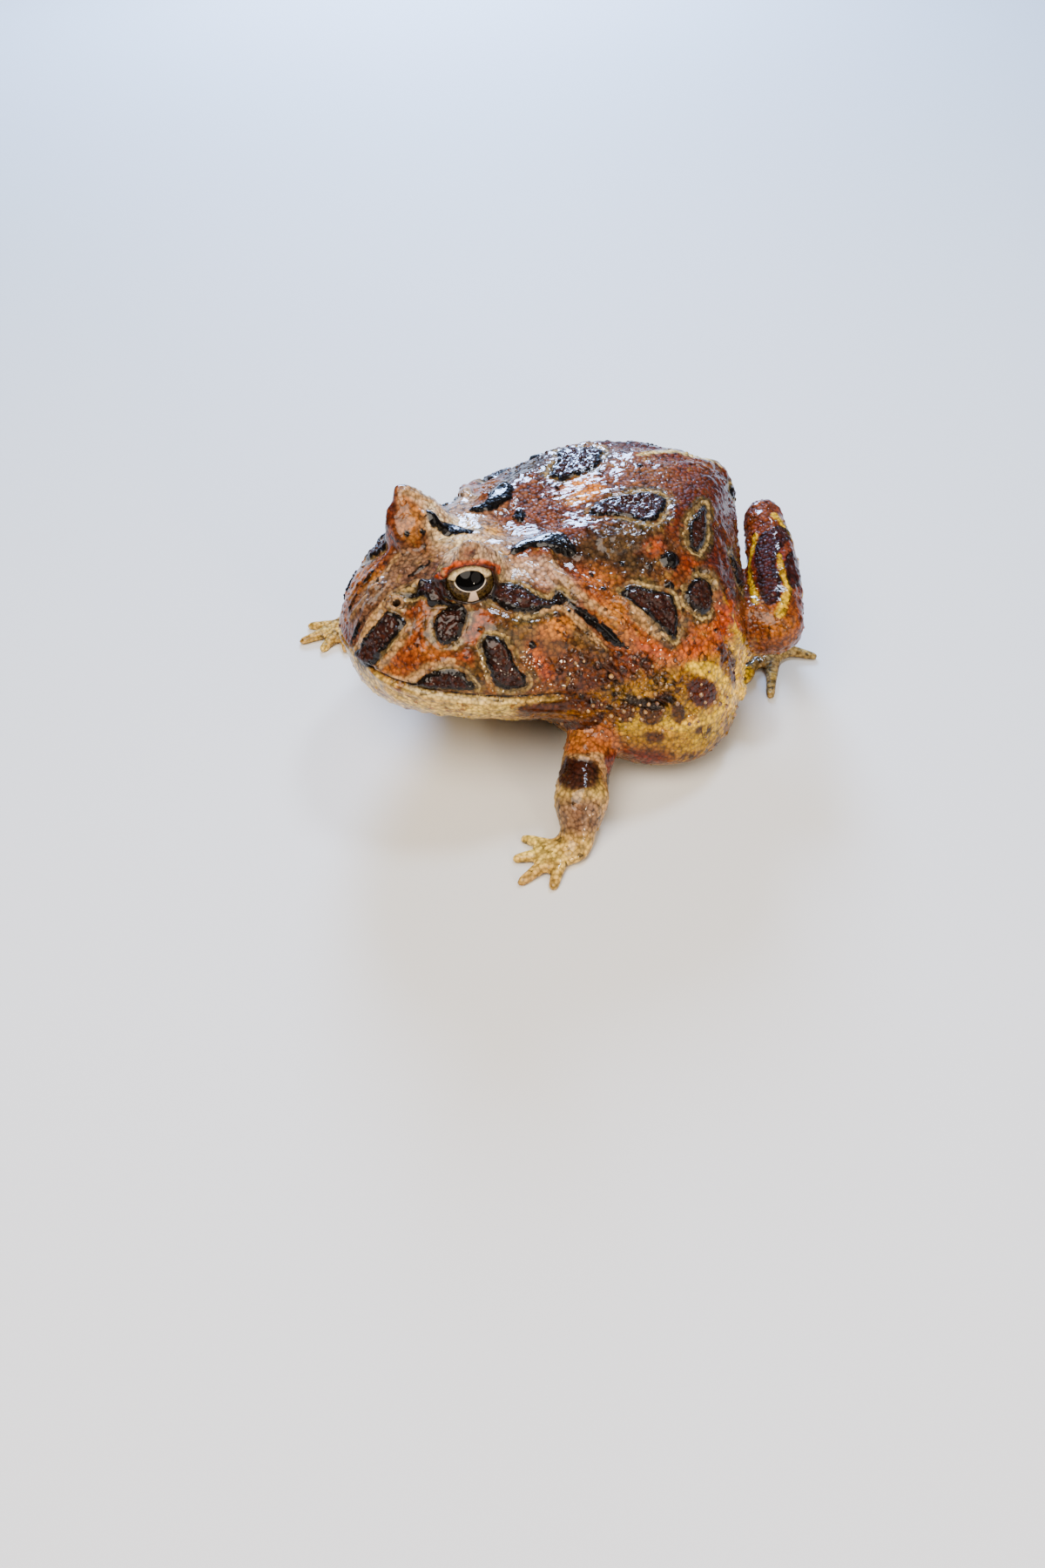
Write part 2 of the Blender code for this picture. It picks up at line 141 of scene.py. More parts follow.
# Matt painted board: nearly no shine, a trace of tooth.
board, tree = new_material("matt_painted_board")
tooth = add(tree, "ShaderNodeTexNoise", {"Scale": 900.0, "Detail": 3.0})
tooth_bump = add(tree, "ShaderNodeBump", {"Height": tooth, "Strength": 0.05})
matt = add(
    tree,
    "ShaderNodeBsdfPrincipled",
    {"Base Color": linear(FLOOR_COLOUR), "Roughness": 0.75, "Normal": tooth_bump},
)
add(tree, "ShaderNodeOutputMaterial", {"Surface": matt})

reach = FLOOR_REACH * MM
floor_mesh = bpy.data.meshes.new("floor")
floor_mesh.from_pydata(
    [(-reach, -reach, 0), (reach, -reach, 0), (reach, reach, 0), (-reach, reach, 0)],
    [],
    [(0, 1, 2, 3)],
)
floor_mesh.materials.append(board)
floor = place("floor", floor_mesh)

surround = bpy.data.worlds.new("surround")
surround.use_nodes = True
surround.node_tree.nodes["Background"].inputs["Color"].default_value = linear(SURROUND[0])
surround.node_tree.nodes["Background"].inputs["Strength"].default_value = SURROUND[1]
bpy.context.scene.world = surround

for name, turn, rise, distance, width, watts, colour in LIGHTS:
    away = direction(turn, rise)
    panel = bpy.data.lights.new(name, "AREA")
    panel.shape = "DISK"
    panel.size = width * MM
    panel.energy = watts
    panel.color = linear(colour)[:3]
    lamp = bpy.data.objects.new(name, panel)
    lamp.location = away * distance * MM
    lamp.rotation_euler = away.to_track_quat("Z", "Y").to_euler()
    bpy.context.scene.collection.objects.link(lamp)

# Skin.  The flesh nodes are joined into one closed skin without seams: their copies are swollen
# a little until the cuts between them close, fused, smoothed and shrunk back.  Rolled lid
# margins are laid round the eyes before that.
EYE_PLACE = Vector((8.2, -23.2, 33.4))
EYE_GAZE = Vector((0.86, -0.42, 0.29)).normalized()
EYE_RADIUS = 3.75
LID_REACH = 4.35
LID_POINTS, LID_HALF_LENGTH = 13, 4.2
UPPER_LID_HEIGHT, UPPER_LID_FALL, UPPER_LID_RADIUS = 3.15, 2.2, 0.62
LOWER_LID_DEPTH, LOWER_LID_RISE, LOWER_LID_RADIUS = 2.95, 0.9, 0.42
LOWER_LID_INSET = 0.3
ROD_POINTS, ROD_TIP, ROD_TAPER = 10, 0.25, 0.35
NEARLY_UP = Vector((0.1, 0.2, 1))
SEAM = 0.002
SWELL = 0.3
SKIN_VOXEL = 0.3
SMOOTH_FUSED, SMOOTH_SHRUNK = 4, 2
SKIN_TRIANGLES = 186000
SIDES = {"left": 1.0, "right": -1.0}

flesh_names = [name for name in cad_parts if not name.startswith("eye")]


def eye_frame(side):
    """Centre of an eye with its gaze, its rearward and its upward directions."""
    centre = Vector((EYE_PLACE.x * side, EYE_PLACE.y, EYE_PLACE.z))
    gaze = Vector((EYE_GAZE.x * side, EYE_GAZE.y, EYE_GAZE.z))
    rear = gaze.cross(Vector((0, 0, 1))).normalized() * -side
    up = rear.cross(gaze) * -side
    return centre, gaze, rear, up.normalized() * (1 if up.z > 0 else -1)


def lid_course(side, upper):
    """Points along the margin of the upper or the lower lid, from front to back."""
    centre, gaze, rear, up = eye_frame(side)
    course = []
    for share in np.linspace(-1, 1, LID_POINTS):
        along = LID_HALF_LENGTH * share
        if upper:
            high, reach = UPPER_LID_HEIGHT - UPPER_LID_FALL * share**2, LID_REACH
        else:
            sag = LOWER_LID_DEPTH * math.sqrt(max(0.0, 1 - share**2))
            high, reach = LOWER_LID_RISE * share**2 - sag, LID_REACH - LOWER_LID_INSET
        out = math.sqrt(max(0.1, reach**2 - along**2 - high**2))
        course.append(centre + rear * along + up * high + gaze * out)
    return course


def join_loops(work, loops):
    """Faces of a bmesh between each loop of points and the next."""
    for near, far in zip(loops, loops[1:]):
        for i, start in enumerate(near):
            j = (i + 1) % len(near)
            work.faces.new((start, near[j], far[j], far[i]))


def mesh_of(work, name):
    """A mesh with what a bmesh holds; the bmesh is freed."""
    made = bpy.data.meshes.new(name)
    work.to_mesh(made)
    work.free()
    return made


def rod(work, course, radius):
    """A round rod along a course, added to a bmesh, its ends drawn to points."""
    last = len(course) - 1
    loops = []
    for i, spot in enumerate(course):
        run = (course[min(i + 1, last)] - course[max(i - 1, 0)]).normalized()
        side = run.cross(NEARLY_UP).normalized()
        rise = side.cross(run)
        ends = ROD_TIP if i in (0, last) else 1 - ROD_TAPER * (2 * i / last - 1) ** 2
        turns = [2 * math.pi * k / ROD_POINTS for k in range(ROD_POINTS)]
        ring = [spot + (side * math.cos(t) + rise * math.sin(t)) * radius * ends for t in turns]
        loops.append([work.verts.new(p * MM) for p in ring])
    join_loops(work, loops)
    work.faces.new(loops[0][::-1])
    work.faces.new(loops[-1])


def smooth(obj, rounds):
    """Adds rounds of smoothing to an object."""
    even = obj.modifiers.new("even", "SMOOTH")
    even.factor = 0.5
    even.iterations = rounds


def settle(obj):
    """Replaces an object's mesh with what its modifiers make of it."""
    evaluated = obj.evaluated_get(bpy.context.evaluated_depsgraph_get())
    made = bpy.data.meshes.new_from_object(evaluated)
    obj.modifiers.clear()
    obj.data = made


work = bmesh.new()
for name in flesh_names:
    work.from_mesh(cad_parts[name].data)
bmesh.ops.remove_doubles(work, verts=work.verts, dist=SEAM * MM)
work.normal_update()
for vert in work.verts:
    vert.co += vert.normal * SWELL * MM
rods = bmesh.new()
for side in SIDES.values():
    rod(rods, lid_course(side, True), UPPER_LID_RADIUS + SWELL)
    rod(rods, lid_course(side, False), LOWER_LID_RADIUS + SWELL)
bmesh.ops.recalc_face_normals(rods, faces=rods.faces)
work.from_mesh(mesh_of(rods, "rods"))
skin = place("skin", mesh_of(work, "skin"))
fuse = skin.modifiers.new("fuse", "REMESH")
fuse.mode = "VOXEL"
fuse.voxel_size = SKIN_VOXEL * MM
smooth(skin, SMOOTH_FUSED)
settle(skin)


def places_of(mesh):
    """Places of a mesh's points in millimetres, and their normals, as arrays."""
    count = len(mesh.vertices)
    spots = np.empty(count * 3)
    mesh.vertices.foreach_get("co", spots)
    ways = np.empty(count * 3)
    mesh.vertex_normals.foreach_get("vector", ways)
    return spots.reshape(-1, 3) / MM, ways.reshape(-1, 3)


def move_to(mesh, spots):
    """Puts a mesh's points at places in millimetres."""
    mesh.vertices.foreach_set("co", (spots * MM).ravel())
    mesh.update()


spots, ways = places_of(skin.data)
move_to(skin.data, spots - ways * SWELL)
smooth(skin, SMOOTH_SHRUNK)
settle(skin)
spots, ways = places_of(skin.data)
body_tree = BVHTree.FromPolygons(
    [Vector(p) for p in spots], [tuple(f.vertices) for f in skin.data.polygons]
)
SEARCH_FROM, SEARCH_TO, SEARCH_STEPS = 150, 260, 45


def on_skin(px, py):
    """Where the line of sight through a pixel meets the skin; beside the frog, the nearest skin."""
    way = sight(px, py)
    hit = body_tree.ray_cast(camera_spot, way)[0]
    if hit is not None:
        return np.array(hit)
    tries = []
    for far in np.linspace(SEARCH_FROM, SEARCH_TO, SEARCH_STEPS):
        near, _, _, gap = body_tree.find_nearest(camera_spot + way * far)
        tries.append((gap, tuple(near)))
    return np.array(min(tries)[1])


# Marks of the skin.  Outlined patches and tapering stripes, each through a few points of the
# outline, placed by their pixels in the frame and carried over, a little changed, to the right
# side.  For every point of the skin they give the distance in mm from the nearest edge of a
# mark of that kind, negative inside it.
DARK_PATCHES = {
    "cheek_round": (
        (499, 713), (507, 701), (523, 695), (535, 698), (534, 716), (527, 732), (513, 741),
        (502, 736),
    ),
    "cheek_slant": (
        (554, 736), (570, 731), (584, 741), (592, 762), (605, 781), (599, 790), (571, 788),
        (561, 768),
    ),
    "upper_lip": (
        (479, 788), (486, 777), (502, 770), (523, 769), (537, 778), (545, 791), (515, 792),
    ),
    "snout_bar": (
        (447, 701), (465, 713), (461, 725), (447, 740), (435, 756), (423, 766), (411, 757),
        (417, 740), (431, 719),
    ),
    "before_eye": (
        (459, 685), (478, 681), (488, 667), (502, 661), (514, 670), (524, 688), (511, 695),
        (494, 695), (487, 684),
    ),
    "behind_eye": (
        (559, 684), (573, 667), (592, 671), (611, 681), (632, 689), (640, 679), (650, 690),
        (628, 699), (602, 703), (580, 698), (568, 690),
    ),
    "back_long": (
        (675, 592), (692, 575), (715, 569), (747, 566), (763, 575), (761, 591), (749, 605),
        (735, 603), (717, 596), (698, 595),
    ),
    "back_far": (
        (641, 552), (648, 540), (664, 528), (685, 524), (691, 530), (682, 538), (664, 546),
    ),
    "flank_tall": (
        (788, 605), (799, 590), (806, 583), (808, 598), (809, 619), (800, 634), (790, 625),
    ),
    "flank_triangle": (
        (714, 681), (724, 672), (747, 677), (768, 681), (776, 697), (778, 720), (774, 735),
        (760, 724), (742, 706), (722, 690),
    ),
    "flank_round": (
        (787, 681), (795, 666), (809, 663), (818, 674), (819, 692), (813, 703), (800, 704),
        (790, 694),
    ),
}
GLOSSY_PATCHES = {
    "nape": (
        (585, 637), (594, 624), (608, 619), (621, 614), (643, 618), (654, 626), (661, 638),
        (643, 639), (625, 634), (608, 633), (594, 639),
    ),
    "crown_bar": (
        (488, 586), (496, 589), (507, 599), (523, 603), (541, 611), (539, 618), (523, 617),
        (506, 612), (494, 604),
    ),
    "crown_dot": ((590, 585), (597, 581), (604, 588), (598, 594), (591, 592)),
    "flank_dot": ((758, 641), (768, 634), (778, 640), (777, 651), (765, 654)),
}
DARK_STRIPES = {
    # the dark line under the shoulder ridge is the ridge's shadow, painted as a glossy black stripe
    "shoulder_line": (
        (639, 678, 0.3), (659, 696, 0.9), (676, 710, 1.2), (692, 722, 1.4), (706, 736, 1.4),
        (720, 744, 0.4),
    ),
    "snout_line": (
        (462, 655, 0.4), (441, 678, 0.9), (422, 703, 1.1), (409, 727, 1.1), (402, 745, 0.6),
    ),
    "snout_far_line": ((440, 640, 0.3), (420, 668, 0.8), (402, 698, 0.6)),
    "brow_streak": ((470, 662, 0.3), (484, 652, 1.0), (498, 640, 0.5)),
    "crown_line": ((537, 579, 0.3), (554, 576, 0.7), (572, 570, 0.3)),
}
PALE_STRIPES = {
    "snout": (
        (505, 660, 0.8), (478, 672, 1.3), (450, 686, 1.4), (433, 709, 1.8), (420, 731, 1.6),
        (408, 751, 1.0),
    ),
    "snout_far": ((462, 634, 0.9), (445, 655, 1.0), (425, 681, 1.0), (404, 710, 0.9)),
    "snout_edge": ((470, 717, 0.9), (458, 738, 1.1), (444, 757, 1.0), (434, 768, 0.7)),
    "lip_edge": (
        (447, 776, 0.6), (462, 781, 0.9), (478, 776, 1.0), (492, 764, 0.9), (520, 760, 0.8),
    ),
    "arm_band": ((640, 868, 0.6), (668, 869, 0.9), (690, 868, 0.9)),
    "arm_edge": ((690, 876, 1.0), (697, 900, 1.6), (694, 930, 1.4), (688, 950, 0.8)),
    "shoulder": (
        (627, 640, 1.2), (643, 662, 1.5), (668, 686, 1.5), (690, 702, 1.6), (712, 716, 1.2),
    ),
    "triangle_edge": ((716, 691, 0.8), (731, 706, 1.7), (750, 724, 1.7), (768, 738, 0.9)),
    "cheek_edge": (
        (622, 702, 0.6), (640, 696, 1.0), (658, 705, 1.2), (676, 725, 1.2), (694, 744, 0.9),
    ),
    "far_horn": ((463, 564, 0.8), (480, 569, 1.2), (500, 572, 1.0), (520, 574, 0.6)),
    "back_edge": ((768, 566, 0.6), (774, 580, 0.9), (770, 600, 0.9), (752, 612, 0.6)),
}
LIP_STRIPES = {
    "rump": ((735, 524, 1.0), (770, 521, 1.8), (810, 529, 1.8), (840, 542, 1.3)),
    "lip": ((470, 791, 0.5), (500, 798, 1.0), (540, 803, 1.3), (580, 804, 1.1), (610, 802, 0.4)),
}
YELLOW_STRIPES = {
    "flank_high": ((789, 765, 0.7), (806, 766, 1.3), (822, 773, 1.7), (833, 785, 1.1)),
    "flank_edge": ((842, 712, 0.5), (849, 735, 1.0), (852, 760, 0.8)),
    "flank_low": ((760, 826, 0.5), (771, 832, 1.3), (786, 836, 1.0)),
    "round_side": ((828, 800, 0.5), (831, 811, 1.1), (821, 822, 1.1), (804, 827, 0.6)),
    "fold": ((818, 662, 0.4), (833, 698, 0.8), (848, 738, 1.2), (858, 772, 1.4), (856, 800, 0.8)),
}
RED_PATCHES = {
    "under_eye": ((546, 695), (556, 698), (562, 714), (560, 730), (549, 738), (545, 718)),
    "jaw": ((607, 741), (617, 744), (635, 768), (629, 781), (615, 768)),
    "flank": (
        (735, 735), (770, 742), (795, 728), (822, 700), (838, 690), (846, 712), (832, 748),
        (800, 756), (770, 762), (742, 752),
    ),
    "flank_spot": ((784, 644), (795, 640), (800, 650), (790, 656)),
    "flank_spot_low": ((778, 672), (788, 676), (786, 696), (778, 690)),
    "flank_spot_high": ((740, 628), (756, 622), (762, 632), (748, 640)),
}
# Soft clouds of ground colour under the marks: colour, how soft the edge is in mm, how mottled
# with dark brown, outline.
TINTS = {
    "crown": (
        "#A8805E", 4, 0.5,
        ((500, 600), (545, 582), (620, 578), (650, 600), (600, 622), (555, 642), (510, 640)),
    ),
    "temple": (
        "#B48A6C", 2, 0.4,
        ((560, 648), (590, 645), (628, 648), (670, 692), (645, 684), (610, 668), (570, 660)),
    ),
    "near_lid": (
        "#D2AC82", 2, 0.7,
        ((508, 642), (524, 627), (541, 620), (560, 626), (578, 642), (560, 645), (522, 645)),
    ),
    "far_horn": (
        "#9C5C28", 1.2, 0.4,
        ((455, 606), (462, 563), (475, 574), (490, 590), (484, 614), (467, 622)),
    ),
    "snout_top": (
        "#74503A", 2, 0.8,
        ((465, 628), (505, 650), (482, 670), (450, 682), (420, 722), (400, 712), (428, 668)),
    ),
    "cheek": (
        "#8E4216", 2, 0.8,
        (
            (462, 700), (478, 690), (505, 697), (550, 695), (562, 735), (545, 760), (500, 765),
            (440, 775), (452, 745),
        ),
    ),
    "cheek_olive": (
        "#5E3E1C", 3, 1.0,
        (
            (565, 698), (600, 706), (640, 702), (690, 735), (705, 765), (640, 745), (606, 735),
            (612, 780), (590, 735),
        ),
    ),
    "mouth_corner": (
        "#5A2A12", 4, 0.9,
        ((615, 742), (700, 760), (745, 792), (700, 822), (640, 800), (610, 790)),
    ),
    "shoulder": (
        "#8E481A", 3, 0.8,
        (
            (650, 650), (700, 648), (716, 680), (765, 735), (790, 760), (740, 762), (705, 735),
            (672, 690),
        ),
    ),
    "back_lilac": (
        "#6E3A22", 6, 0.8,
        (
            (560, 590), (620, 545), (700, 515), (780, 530), (770, 570), (680, 600), (640, 620),
            (590, 610),
        ),
    ),
    # Olive-brown of the lower back, deepened as painted shade where the back slopes away below its
    # ridge.
    "back_olive": (
        "#46301A", 4, 0.9,
        ((630, 645), (690, 606), (750, 610), (775, 632), (740, 668), (690, 650)),
    ),
    # The rump's own red-brown, deepened as painted shade over its rear slope.
    "rump": (
        "#4C1A0A", 4, 0.7,
        ((775, 560), (838, 545), (852, 640), (850, 700), (812, 655), (785, 610)),
    ),
    "flank_low": (
        "#8A5A06", 3, 0.8,
        ((690, 795), (770, 768), (850, 730), (862, 790), (800, 842), (715, 838)),
    ),
    "low_yellow": (
        "#A87C04", 3, 0.8,
        ((700, 832), (760, 815), (850, 800), (845, 830), (800, 860), (715, 850)),
    ),
    "yellow_high": (
        "#FFC21E", 1.4, 0.7,
        (
            (790, 764), (806, 763), (824, 768), (838, 780), (842, 796), (830, 792), (815, 778),
            (798, 773),
        ),
    ),
    "yellow_edge": (
        "#F0B62A", 1.6, 0.8,
        (
            (836, 735), (848, 742), (858, 770), (856, 800), (838, 815), (815, 822), (836, 800),
            (846, 775),
        ),
    ),
    "yellow_low": (
        "#F0B62A", 1.6, 0.9,
        ((760, 828), (785, 826), (810, 820), (812, 830), (780, 838), (760, 836)),
    ),
    "belly_round": (
        "#6E2608", 1.2, 0.3,
        ((790, 787), (804, 781), (818, 788), (822, 804), (813, 811), (800, 810), (792, 798)),
    ),
    "crown_orange": (
        "#C4762E", 1, 0.3,
        ((556, 606), (567, 602), (578, 607), (570, 614), (558, 613)),
    ),
    "back_orange": (
        "#D07822", 1.2, 0.3,
        ((652, 573), (668, 561), (690, 557), (690, 566), (674, 577), (656, 580)),
    ),
    "orange_patch": (
        "#B0601C", 1.5, 0.3,
        ((622, 716), (640, 709), (656, 711), (656, 727), (640, 734), (624, 730)),
    ),
    "corner_throat": (
        "#7A460C", 3, 0.9,
        ((592, 810), (640, 806), (700, 800), (716, 826), (670, 845), (612, 828)),
    ),
    "knee": ("#7E3C10", 2, 0.3, ((880, 700), (905, 695), (915, 730), (885, 742))),
    "arm_top": ("#9C5420", 2, 0.2, ((642, 830), (700, 830), (700, 864), (640, 862))),
    "arm_dark": (
        "#33160B", 1.2, 0.5,
        ((640, 874), (680, 872), (690, 884), (685, 908), (655, 910), (640, 900)),
    ),
    "arm_low": ("#7E5A40", 3, 0.4, ((640, 912), (690, 912), (690, 945), (640, 945))),
}
BROWN_PATCHES = {
    "belly_front": ((733, 815), (748, 807), (761, 815), (757, 829), (741, 833)),
    "belly_back": ((771, 812), (779, 805), (787, 817), (782, 833), (773, 828)),
    "belly_arm": ((711, 812), (724, 806), (731, 817), (722, 829), (711, 826)),
    "belly_top": ((752, 798), (766, 794), (774, 802), (764, 808), (752, 806)),
    "belly_under": ((742, 842), (756, 840), (764, 846), (752, 852), (741, 850)),
    "belly_rear": ((800, 836), (812, 832), (818, 838), (808, 846), (799, 844)),
    "round": (
        (789, 788), (797, 778), (812, 779), (822, 790), (822, 803), (812, 811), (799, 809),
        (790, 799),
    ),
    "edge": ((837, 750), (844, 747), (847, 768), (841, 786), (836, 770)),
    "edge_high": ((825, 742), (832, 738), (835, 757), (828, 765)),
    "throat_high": ((598, 811), (640, 807), (692, 805), (692, 812), (640, 816), (602, 818)),
    "throat_low": ((612, 827), (650, 827), (688, 821), (690, 829), (650, 835), (615, 834)),
}
LEG_SHIFT = (22, 16)
LEG_DARK = {
    "shank": (
        (850, 600), (864, 591), (882, 593), (885, 605), (871, 619), (869, 637), (875, 655),
        (871, 674), (857, 678), (850, 660), (846, 637), (845, 618),
    ),
    "shank_outer": ((880, 623), (889, 619), (897, 637), (897, 651), (889, 660), (881, 648)),
}
LEG_YELLOW = {
    "outer": ((868, 576, 1.1), (884, 600, 0.7), (896, 632, 0.6), (903, 668, 0.6)),
    "middle": ((872, 622, 0.4), (876, 640, 0.6), (882, 660, 0.7), (874, 688, 1.1)),
    "inner": ((846, 600, 0.6), (839, 640, 0.8), (846, 676, 0.7)),
}
FAR_SHIFT = Vector((0.0, 1.4, 0.5))
NEAR_SIDE_ONLY = ("before_eye", "snout_far_line")
# Blotches on the rump and the backs of the legs: middle, half length, half width in mm, turn in
# degrees.  They sit on both sides wherever the frame does not show them.
REAR_SPOTS = (
    ((16, 13, 31), 2.8, 1.7, 30),
    ((20, 19, 24), 3.0, 1.8, 80),
    ((9, 23, 31), 2.6, 1.6, 10),
    ((12, 27, 22), 2.6, 1.6, 70),
    ((4.5, 29, 27), 1.5, 1.0, 0),
    ((27, 12, 17), 2.6, 1.8, 60),
    ((29, 2, 13), 1.8, 1.5, 20),
)
LEG_SPOTS = (
    ((9.0, 38.5, 17.0), 2.0, 1.1, 0),
    ((10.5, 38.5, 11.5), 1.9, 1.0, 0),
    ((13.0, 37.5, 6.5), 1.7, 0.9, 0),
    ((22.5, 18.0, 17.5), 2.6, 1.2, 60),
    ((24.5, 26.5, 12.0), 2.0, 1.2, 0),
    ((24.0, -9.0, 8.5), 1.8, 1.0, 40),
    ((31.0, -14.0, 6.0), 1.8, 1.0, 40),
)
# Rolls of skin where the arm meets the flank, raised, and painted near black as shade in the folds.
ARM_ROLLS = {
    "roll": ((706, 797, 0.9), (724, 803, 1.7), (746, 808, 1.7), (764, 811, 0.9)),
    "roll_rear": ((757, 797, 0.5), (770, 803, 0.9), (781, 813, 0.7), (785, 823, 0.4)),
    "roll_corner": ((688, 752, 0.5), (695, 763, 0.9), (707, 772, 1.0), (714, 783, 0.6)),
}
# Dots: small dark warts and specks, each with its width in mm.
DOTS = {
    "bead": (
        (742, 761, 1.7), (731, 757, 1.1), (704, 775, 1.5), (758, 780, 1.4), (770, 788, 1.2),
        (687, 763, 1.2), (720, 790, 1.1), (748, 772, 1.2), (660, 748, 0.8), (671, 757, 1.0),
        (676, 727, 0.8), (640, 706, 0.6), (680, 806, 0.8), (700, 812, 0.8), (738, 752, 1.2),
        (752, 788, 0.9), (708, 786, 1.0), (764, 774, 0.9), (716, 768, 0.9), (694, 782, 0.8),
        (728, 776, 0.8), (776, 780, 0.8), (655, 790, 0.8), (668, 800, 0.7), (690, 745, 0.8),
        (712, 750, 0.7), (642, 770, 0.8), (650, 728, 0.6), (665, 772, 0.7), (630, 758, 0.6),
    ),
    "gloss": (
        (768, 671, 1.3), (823, 724, 0.9), (478, 739, 0.6), (471, 743, 0.5), (535, 753, 0.6),
        (551, 722, 0.5), (612, 740, 0.9), (486, 610, 0.6), (467, 612, 0.7), (679, 660, 0.6),
        (694, 676, 0.8), (714, 648, 0.6), (655, 700, 0.5), (745, 650, 0.8), (640, 560, 0.7),
        (622, 558, 0.6), (690, 545, 0.7), (735, 535, 0.8), (795, 566, 0.7), (822, 742, 0.7),
        (705, 632, 0.8), (724, 628, 0.7), (690, 622, 0.6), (757, 626, 0.6), (668, 640, 0.5),
    ),
}
# Folds: ridges and grooves: height or depth, how soft the sides are, and the course with widths,
# all in mm but the pixels.
FOLDS = (
    (
        0.55, 0.6,
        ((627, 640, 1.0), (643, 662, 1.2), (668, 686, 1.2), (690, 702, 1.2), (712, 716, 0.6)),
    ),
    (
        -0.35, 0.6,
        ((640, 684, 0.4), (660, 702, 0.8), (680, 722, 1.0), (700, 738, 1.0), (716, 748, 0.4)),
    ),
    (0.35, 0.7, ((716, 691, 0.8), (731, 706, 1.6), (750, 724, 1.6), (768, 738, 0.6))),
    (
        0.45, 0.6,
        ((508, 657, 0.6), (478, 672, 1.0), (449, 684, 1.0), (431, 708, 1.0), (417, 735, 0.6)),
    ),
    (0.3, 0.5, ((470, 717, 0.2), (458, 736, 0.4), (444, 754, 0.4), (434, 766, 0.2))),
    (0.3, 0.5, ((465, 632, 0.3), (448, 657, 0.4), (427, 683, 0.5), (403, 710, 0.3))),
    (
        0.7, 0.7,
        ((818, 655, 0.6), (832, 690, 1.2), (847, 732, 1.6), (857, 770, 1.6), (858, 795, 1.0)),
    ),
    (-0.5, 0.6, ((806, 655, 0.1), (822, 700, 0.8), (838, 738, 1.0), (847, 775, 0.6))),
    (-0.35, 0.5, ((606, 808, 0.1), (640, 808, 0.5), (680, 802, 0.7), (704, 796, 0.3))),
    (-0.3, 0.5, ((612, 820, 0.1), (650, 824, 0.4), (690, 818, 0.5), (716, 808, 0.1))),
    (-0.3, 0.5, ((622, 832, 0.1), (650, 838, 0.3), (680, 836, 0.1))),
    (0.25, 0.6, ((608, 814, 0.3), (650, 816, 0.7), (690, 810, 0.7))),
    (-0.45, 0.6, ((695, 808, 0.1), (722, 806, 0.7), (752, 808, 0.7), (772, 802, 0.1))),
    (-0.3, 0.5, ((560, 692, 0.1), (590, 706, 0.3), (625, 708, 0.3))),
    (
        0.9, 2.6,
        (
            (612, 628, 0.5), (650, 620, 1.0), (700, 612, 1.5), (750, 610, 1.5), (795, 585, 1.5),
            (822, 555, 0.5),
        ),
    ),
    (0.3, 1.2, ((730, 524, 1.0), (770, 521, 1.5), (810, 529, 1.5), (842, 543, 1.0))),
    (-0.5, 2.2, ((560, 590, 2.0), (590, 600, 3.0), (620, 600, 2.0))),
    (0.4, 1.2, ((520, 628, 0.6), (541, 618, 0.8), (565, 624, 0.8), (590, 640, 0.4))),
)
NOSTRIL = (455, 692)
# How marks are measured, in mm unless they are shares.
TINY = 1e-9
FAR_AWAY = 9.0
CURVE_STEPS = 4
PATCH_MARGIN, STRIPE_MARGIN = 4, 5
MARK_FACING, MARK_THICK = 0.12, 4.5
CLOUD_FACING, CLOUD_THICK = -0.1, 7
SPOT_POINTS, SPOT_WOBBLE = 9, (0.16, 0.12)
SAME_PLACE, SEEN_FACING = 1.5, -0.25
CLEAR_OF_MIDDLE = 1.5
LID_BAND, LID_FACING, FAR_LID_FROM = 1.25, 0.1, 5
LID_SHADE, LID_SHADE_DROP = 0.8, 0.2
NOSTRIL_LENGTH = 3


def round_through(points, closed):
    """A smooth line through points, as Catmull-Rom spans."""
    rows = np.array(points, float)
    if closed:
        held = np.vstack([rows[-1], rows, rows[0], rows[1]])
    else:
        held = np.vstack([2 * rows[0] - rows[1], rows, 2 * rows[-1] - rows[-2]])
    found = []
    for before, start, end, after in zip(held, held[1:], held[2:], held[3:]):
        for t in np.linspace(0, 1, CURVE_STEPS, endpoint=False):
            found.append(
                start
                + 0.5 * t * (end - before)
                + 0.5 * t * t * (2 * before - 5 * start + 4 * end - after)
                + 0.5 * t**3 * (3 * start - before - 3 * end + after)
            )
    return np.array(found if closed else [*found, rows[-1]])


def far_side(course):
    """The same points on the frog's right side, moved a little."""
    flipped = course.copy()
    flipped[:, 0] *= -1
    flipped[:, :3] += FAR_SHIFT
    return flipped


def cast(points, shift=(0, 0)):
    """Pixels of a mark, with any widths, as places on the skin."""
    return np.array([[*on_skin(p[0] + shift[0], p[1] + shift[1]), *p[2:]] for p in points])


def near_segments(points, starts, ends):
    """Distance from each point to the nearest of the segments, and which and how far along."""
    span = ends - starts
    length = np.maximum((span**2).sum(1), TINY)
    offset = points[:, None, :] - starts[None]
    along = np.clip((offset * span).sum(2) / length, 0, 1)
    gaps = np.linalg.norm(offset - along[..., None] * span, axis=2)
    best = gaps.argmin(1)
    rows = np.arange(len(points))
    return gaps[rows, best], best, along[rows, best]


